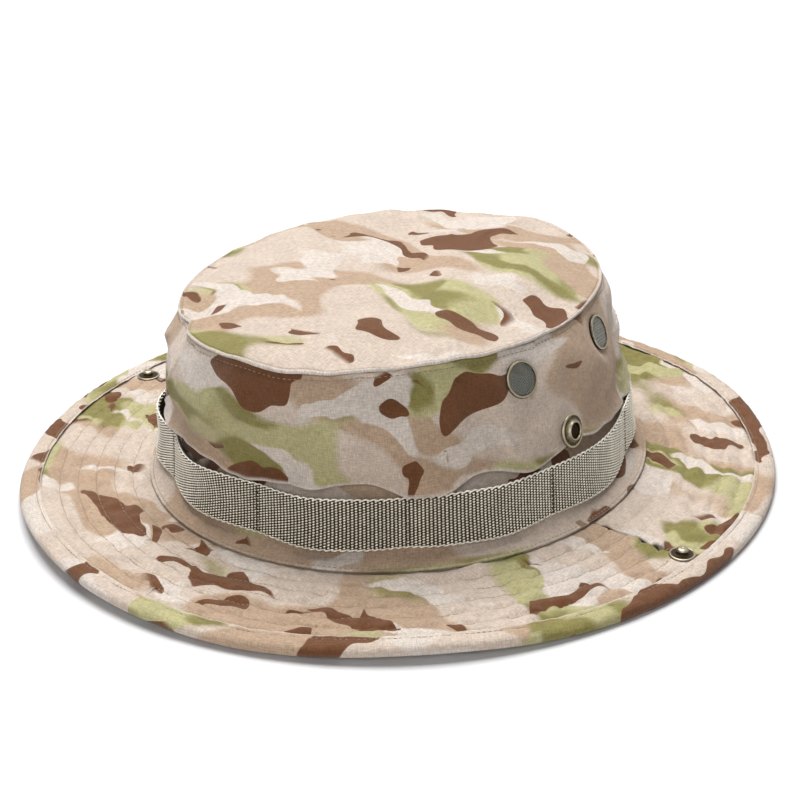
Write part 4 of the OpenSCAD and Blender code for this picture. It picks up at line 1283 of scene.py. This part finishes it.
class HAT_OT_binding(bpy.types.Operator):
    """Makes the binding folded round the brim's edge, as two halves"""
    bl_idname = "hat.binding"
    bl_label = "Binding"

    def execute(self, context):
        form, materials, _ = ready(context)
        for side, sign in SIDES.items():
            faces = []
            for off in (0, form.s.bind_t):
                path = self.profile(form, off)
                t = form.brim_angles(path[:, 0])
                dz = path[:, 1:] + 0 * t
                grid = form.brim(path[:, :1] + 0 * t, t, dz, sign)
                grid[..., 2] += np.clip(1 + dz / MM, 0, 1) * relief(grid, (0.16, 6, 61), (0.14, 15, 62))
                faces.append(grid)
            outer, inner, normals = brim_half(*faces, sign)
            along, across = flat_place(outer)
            uv = np.stack(np.meshgrid(along, across), -1) * UNITS + CUTS[f"{side}_binding"]
            # A paler line on the binding's folded upper edge, as wear and as painted highlight
            edge = near(np.linalg.norm(outer - outer[:1], axis=-1), 0.5 * MM)
            piece = cloth(f"brim_{side}_binding", outer, inner, uv, False, materials["printed_cloth"],
                          edge=edge, normals=normals)
            on_brim(piece, side, "binding")
        return {"FINISHED"}

    def profile(self, form, off):
        """Distances and heights of the binding from upper to lower edge, off being the depth into it."""
        s, start, reach, top = form.s, form.quilt_w, 1.9 * MM, 0.65 * MM
        turn, sewn = s.brim_w - reach, start + EDGE_SEAM
        flat = np.linspace(start, turn, 14)
        pillow = 0.3 * MM * np.sin(math.pi * np.clip((flat - sewn) / (turn - sewn + 1.2 * MM), 0, 1))
        pillow = pillow + ridges(flat - sewn, (-0.3, 0, 0.5))
        upper = np.stack([flat, top - off + pillow], 1)
        bend = np.linspace(math.pi / 2, -math.pi / 2, 12)[1:-1]
        middle, half = -s.brim_t / 2, s.brim_t / 2 + top
        edge = np.stack([turn + (reach - off) * np.cos(bend), middle + (half - off) * np.sin(bend)], 1)
        back = np.linspace(turn, start, 10)
        foot = s.brim_drop * (np.maximum(back, s.brim_w - s.bind_w / 2) / s.brim_w - 1)
        ease = np.clip((back - start) / (s.bind_w / 2), 0, 1)
        lower = np.stack([back, middle - half + off + foot * ease], 1)
        return np.concatenate([upper, edge, lower])


class HAT_OT_stitches(bpy.types.Operator):
    """Sews the quilting, the binding, the collar and the top seam"""
    bl_idname = "hat.stitches"
    bl_label = "Stitches"

    def execute(self, context):
        form, materials, trees = ready(context)
        s, tree, thread = form.s, trees["stitch"], materials["thread"]
        size = {"Pitch": s.stitch_pitch, "Length": s.stitch_pitch * 0.86,
                "Width": s.stitch_w, "Height": s.stitch_w * 0.9}
        for side, sign in SIDES.items():
            piece = self.brim_rows(form, sign).grow(f"brim_{side}_stitches", tree, thread, **size)
            on_brim(piece, side)

        path = form.band_path(0)[::-1]
        from_edge = np.linalg.norm(path - path[0], axis=1)
        rows = Rows()
        t = steps_round(SEWN_COLS)
        a, b, z = [np.interp(EDGE_SEAM, from_edge, path[:, k]) for k in range(3)]
        rows.add(oval(a, b, t, z + 0.05 * MM), (0, 0, 1), closed=True)
        seam = form.side(np.full(SEWN_COLS, 1 - TOP_SEAM / s.side_h), t, -0.06 * MM)
        out = unit(seam * LEVEL / (form.rim_a ** 2, form.rim_b ** 2, 1))
        rows.add(seam, out, closed=True)
        on_crown(rows.grow("crown_stitches", tree, thread, **size), "printed_cloth")

        knots = Rows()
        reach = np.linspace(0.3 * MM, 4.2 * MM, 8)
        a, b, z = [np.interp(reach, from_edge, path[:, k]) for k in range(3)]
        for degrees in BARTACK_TURNS:
            for k in range(-2, 3):
                turn = math.radians(degrees) + k * 0.006
                knots.add(oval(a, b, turn, z + 0.15 * MM), (0.3 * math.cos(turn), 0, 0.95))
        on_crown(knots.grow("collar_bartacks", tree, thread, **BARTACK), "printed_cloth")
        return {"FINISHED"}

    def brim_rows(self, form, sign):
        """Rows through the quilting of a brim half and through its binding, above and below."""
        rows = Rows()
        front, back = slice(1, FRONT_COLS + 1), slice(FRONT_COLS + 3, -1)
        starts = [(k * form.pitch, front) for k in range(1, QUILT_ROWS)]
        starts += [(form.back_shift + k * form.pitch, back) for k in range(QUILT_ROWS)]
        for away, part in starts:
            t = form.brim_angles(np.array([away]))[:, part]
            for face, height in ((form.brim_top, 1), (form.brim_under, -1)):
                path = face(away + 0 * t, t, sign)[0]
                path[:, 2] += height * 0.08 * MM
                rows.add(path, (0, 0, height))
        bound = form.quilt_w + EDGE_SEAM
        t = form.brim_angles(np.array([bound]))[:, 1:-1]
        for dz, height in ((0.42 * MM, 1), (-form.s.brim_t - 0.68 * MM, -1)):
            rows.add(form.brim(bound + 0 * t, t, dz + 0 * t, sign)[0], (0, 0, height))
        return rows


class HAT_OT_vents(bpy.types.Operator):
    """Makes the vents' rims and woven wire screens"""
    bl_idname = "hat.vents"
    bl_label = "Vents"

    def execute(self, context):
        form, materials, trees = ready(context)
        metal = materials["antique_metal"]
        rims = turned_piece("vent_rims_turned", VENT_RIM, form.vents, metal)
        on_crown(rims, "antique_metal", "vent_rims")
        points, edges = [], []
        pitch, reach, lie = 0.85 * MM, 6.1 * MM, Matrix.Rotation(math.radians(38), 4, "Z")
        for seat in form.vents:
            for lay in (0, 1):
                for k in range(-7, 8):
                    half = math.sqrt(max(0, reach ** 2 - (k * pitch) ** 2))
                    steps = np.linspace(-half, half, 2 * int(half / pitch * 2) + 3)
                    over = 0.16 * MM * np.cos(math.pi * (steps / pitch + k + lay))
                    start = len(points)
                    for x, z in zip(steps, over):
                        flat = (x, k * pitch) if lay == 0 else (k * pitch, x)
                        points.append(seat @ lie @ Vector((*flat, 0.75 * MM + z)))
                    edges += [(start + i, start + i + 1) for i in range(len(steps) - 1)]
        screen = grown("vent_screens_woven", trees["wire"], points, edges, {}, materials["antique_screen"],
                       Radius=0.17 * MM)
        on_crown(screen, "screen_metal", "vent_screens")
        plate(metal, "vent_washers")
        return {"FINISHED"}


class HAT_OT_press_studs(bpy.types.Operator):
    """Makes the sockets on the crown and the studs on the brim"""
    bl_idname = "hat.press_studs"
    bl_label = "Press studs"

    def execute(self, context):
        form, materials, _ = ready(context)
        metal = materials["antique_metal"]
        for side, seat in form.sockets.items():
            piece = turned_piece(f"{side}_socket_turned", SOCKET, [seat], metal)
            on_crown(piece, "antique_metal", f"{side}_snap_socket")
        for side, seat in form.studs.items():
            piece = turned_piece(f"{side}_stud_turned", STUD, [seat], metal)
            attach(piece, FLAPS[side])
            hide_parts(f"{side}_snap_stud")
        plate(metal, "right_socket_rivet", "left_socket_rivet", "right_stud_rivet", "left_stud_rivet")
        return {"FINISHED"}


OPERATORS = (
    HAT_OT_stage, HAT_OT_crown_top, HAT_OT_crown_side, HAT_OT_collar, HAT_OT_webbing, HAT_OT_brim,
    HAT_OT_binding, HAT_OT_stitches, HAT_OT_vents, HAT_OT_press_studs,
)


class HAT_PT_panel(bpy.types.Panel):
    """Lists the steps that build the hat"""
    bl_idname = "HAT_PT_panel"
    bl_label = "Boonie hat"
    bl_space_type = "VIEW_3D"
    bl_region_type = "UI"
    bl_category = "Hat"

    def draw(self, context):
        for operator in OPERATORS:
            self.layout.operator(operator.bl_idname, text=operator.bl_label)
        for name in GROUPS:
            group, box = getattr(context.scene, name), self.layout.box()
            for key in group.__annotations__:
                box.prop(group, key)


GROUPS = {"hat_sizes": HatSizes, "hat_colours": HatColours, "hat_stage": HatStage}
CLASSES = (*GROUPS.values(), *OPERATORS, HAT_PT_panel)


def register():
    for item in CLASSES:
        bpy.utils.register_class(item)
    for name, group in GROUPS.items():
        setattr(bpy.types.Scene, name, PointerProperty(type=group))


def unregister():
    for name in GROUPS:
        delattr(bpy.types.Scene, name)
    for item in reversed(CLASSES):
        bpy.utils.unregister_class(item)


def main():
    register()
    for operator in OPERATORS:
        group, name = operator.bl_idname.split(".")
        getattr(getattr(bpy.ops, group), name)()


if __name__ == "__main__":
    main()
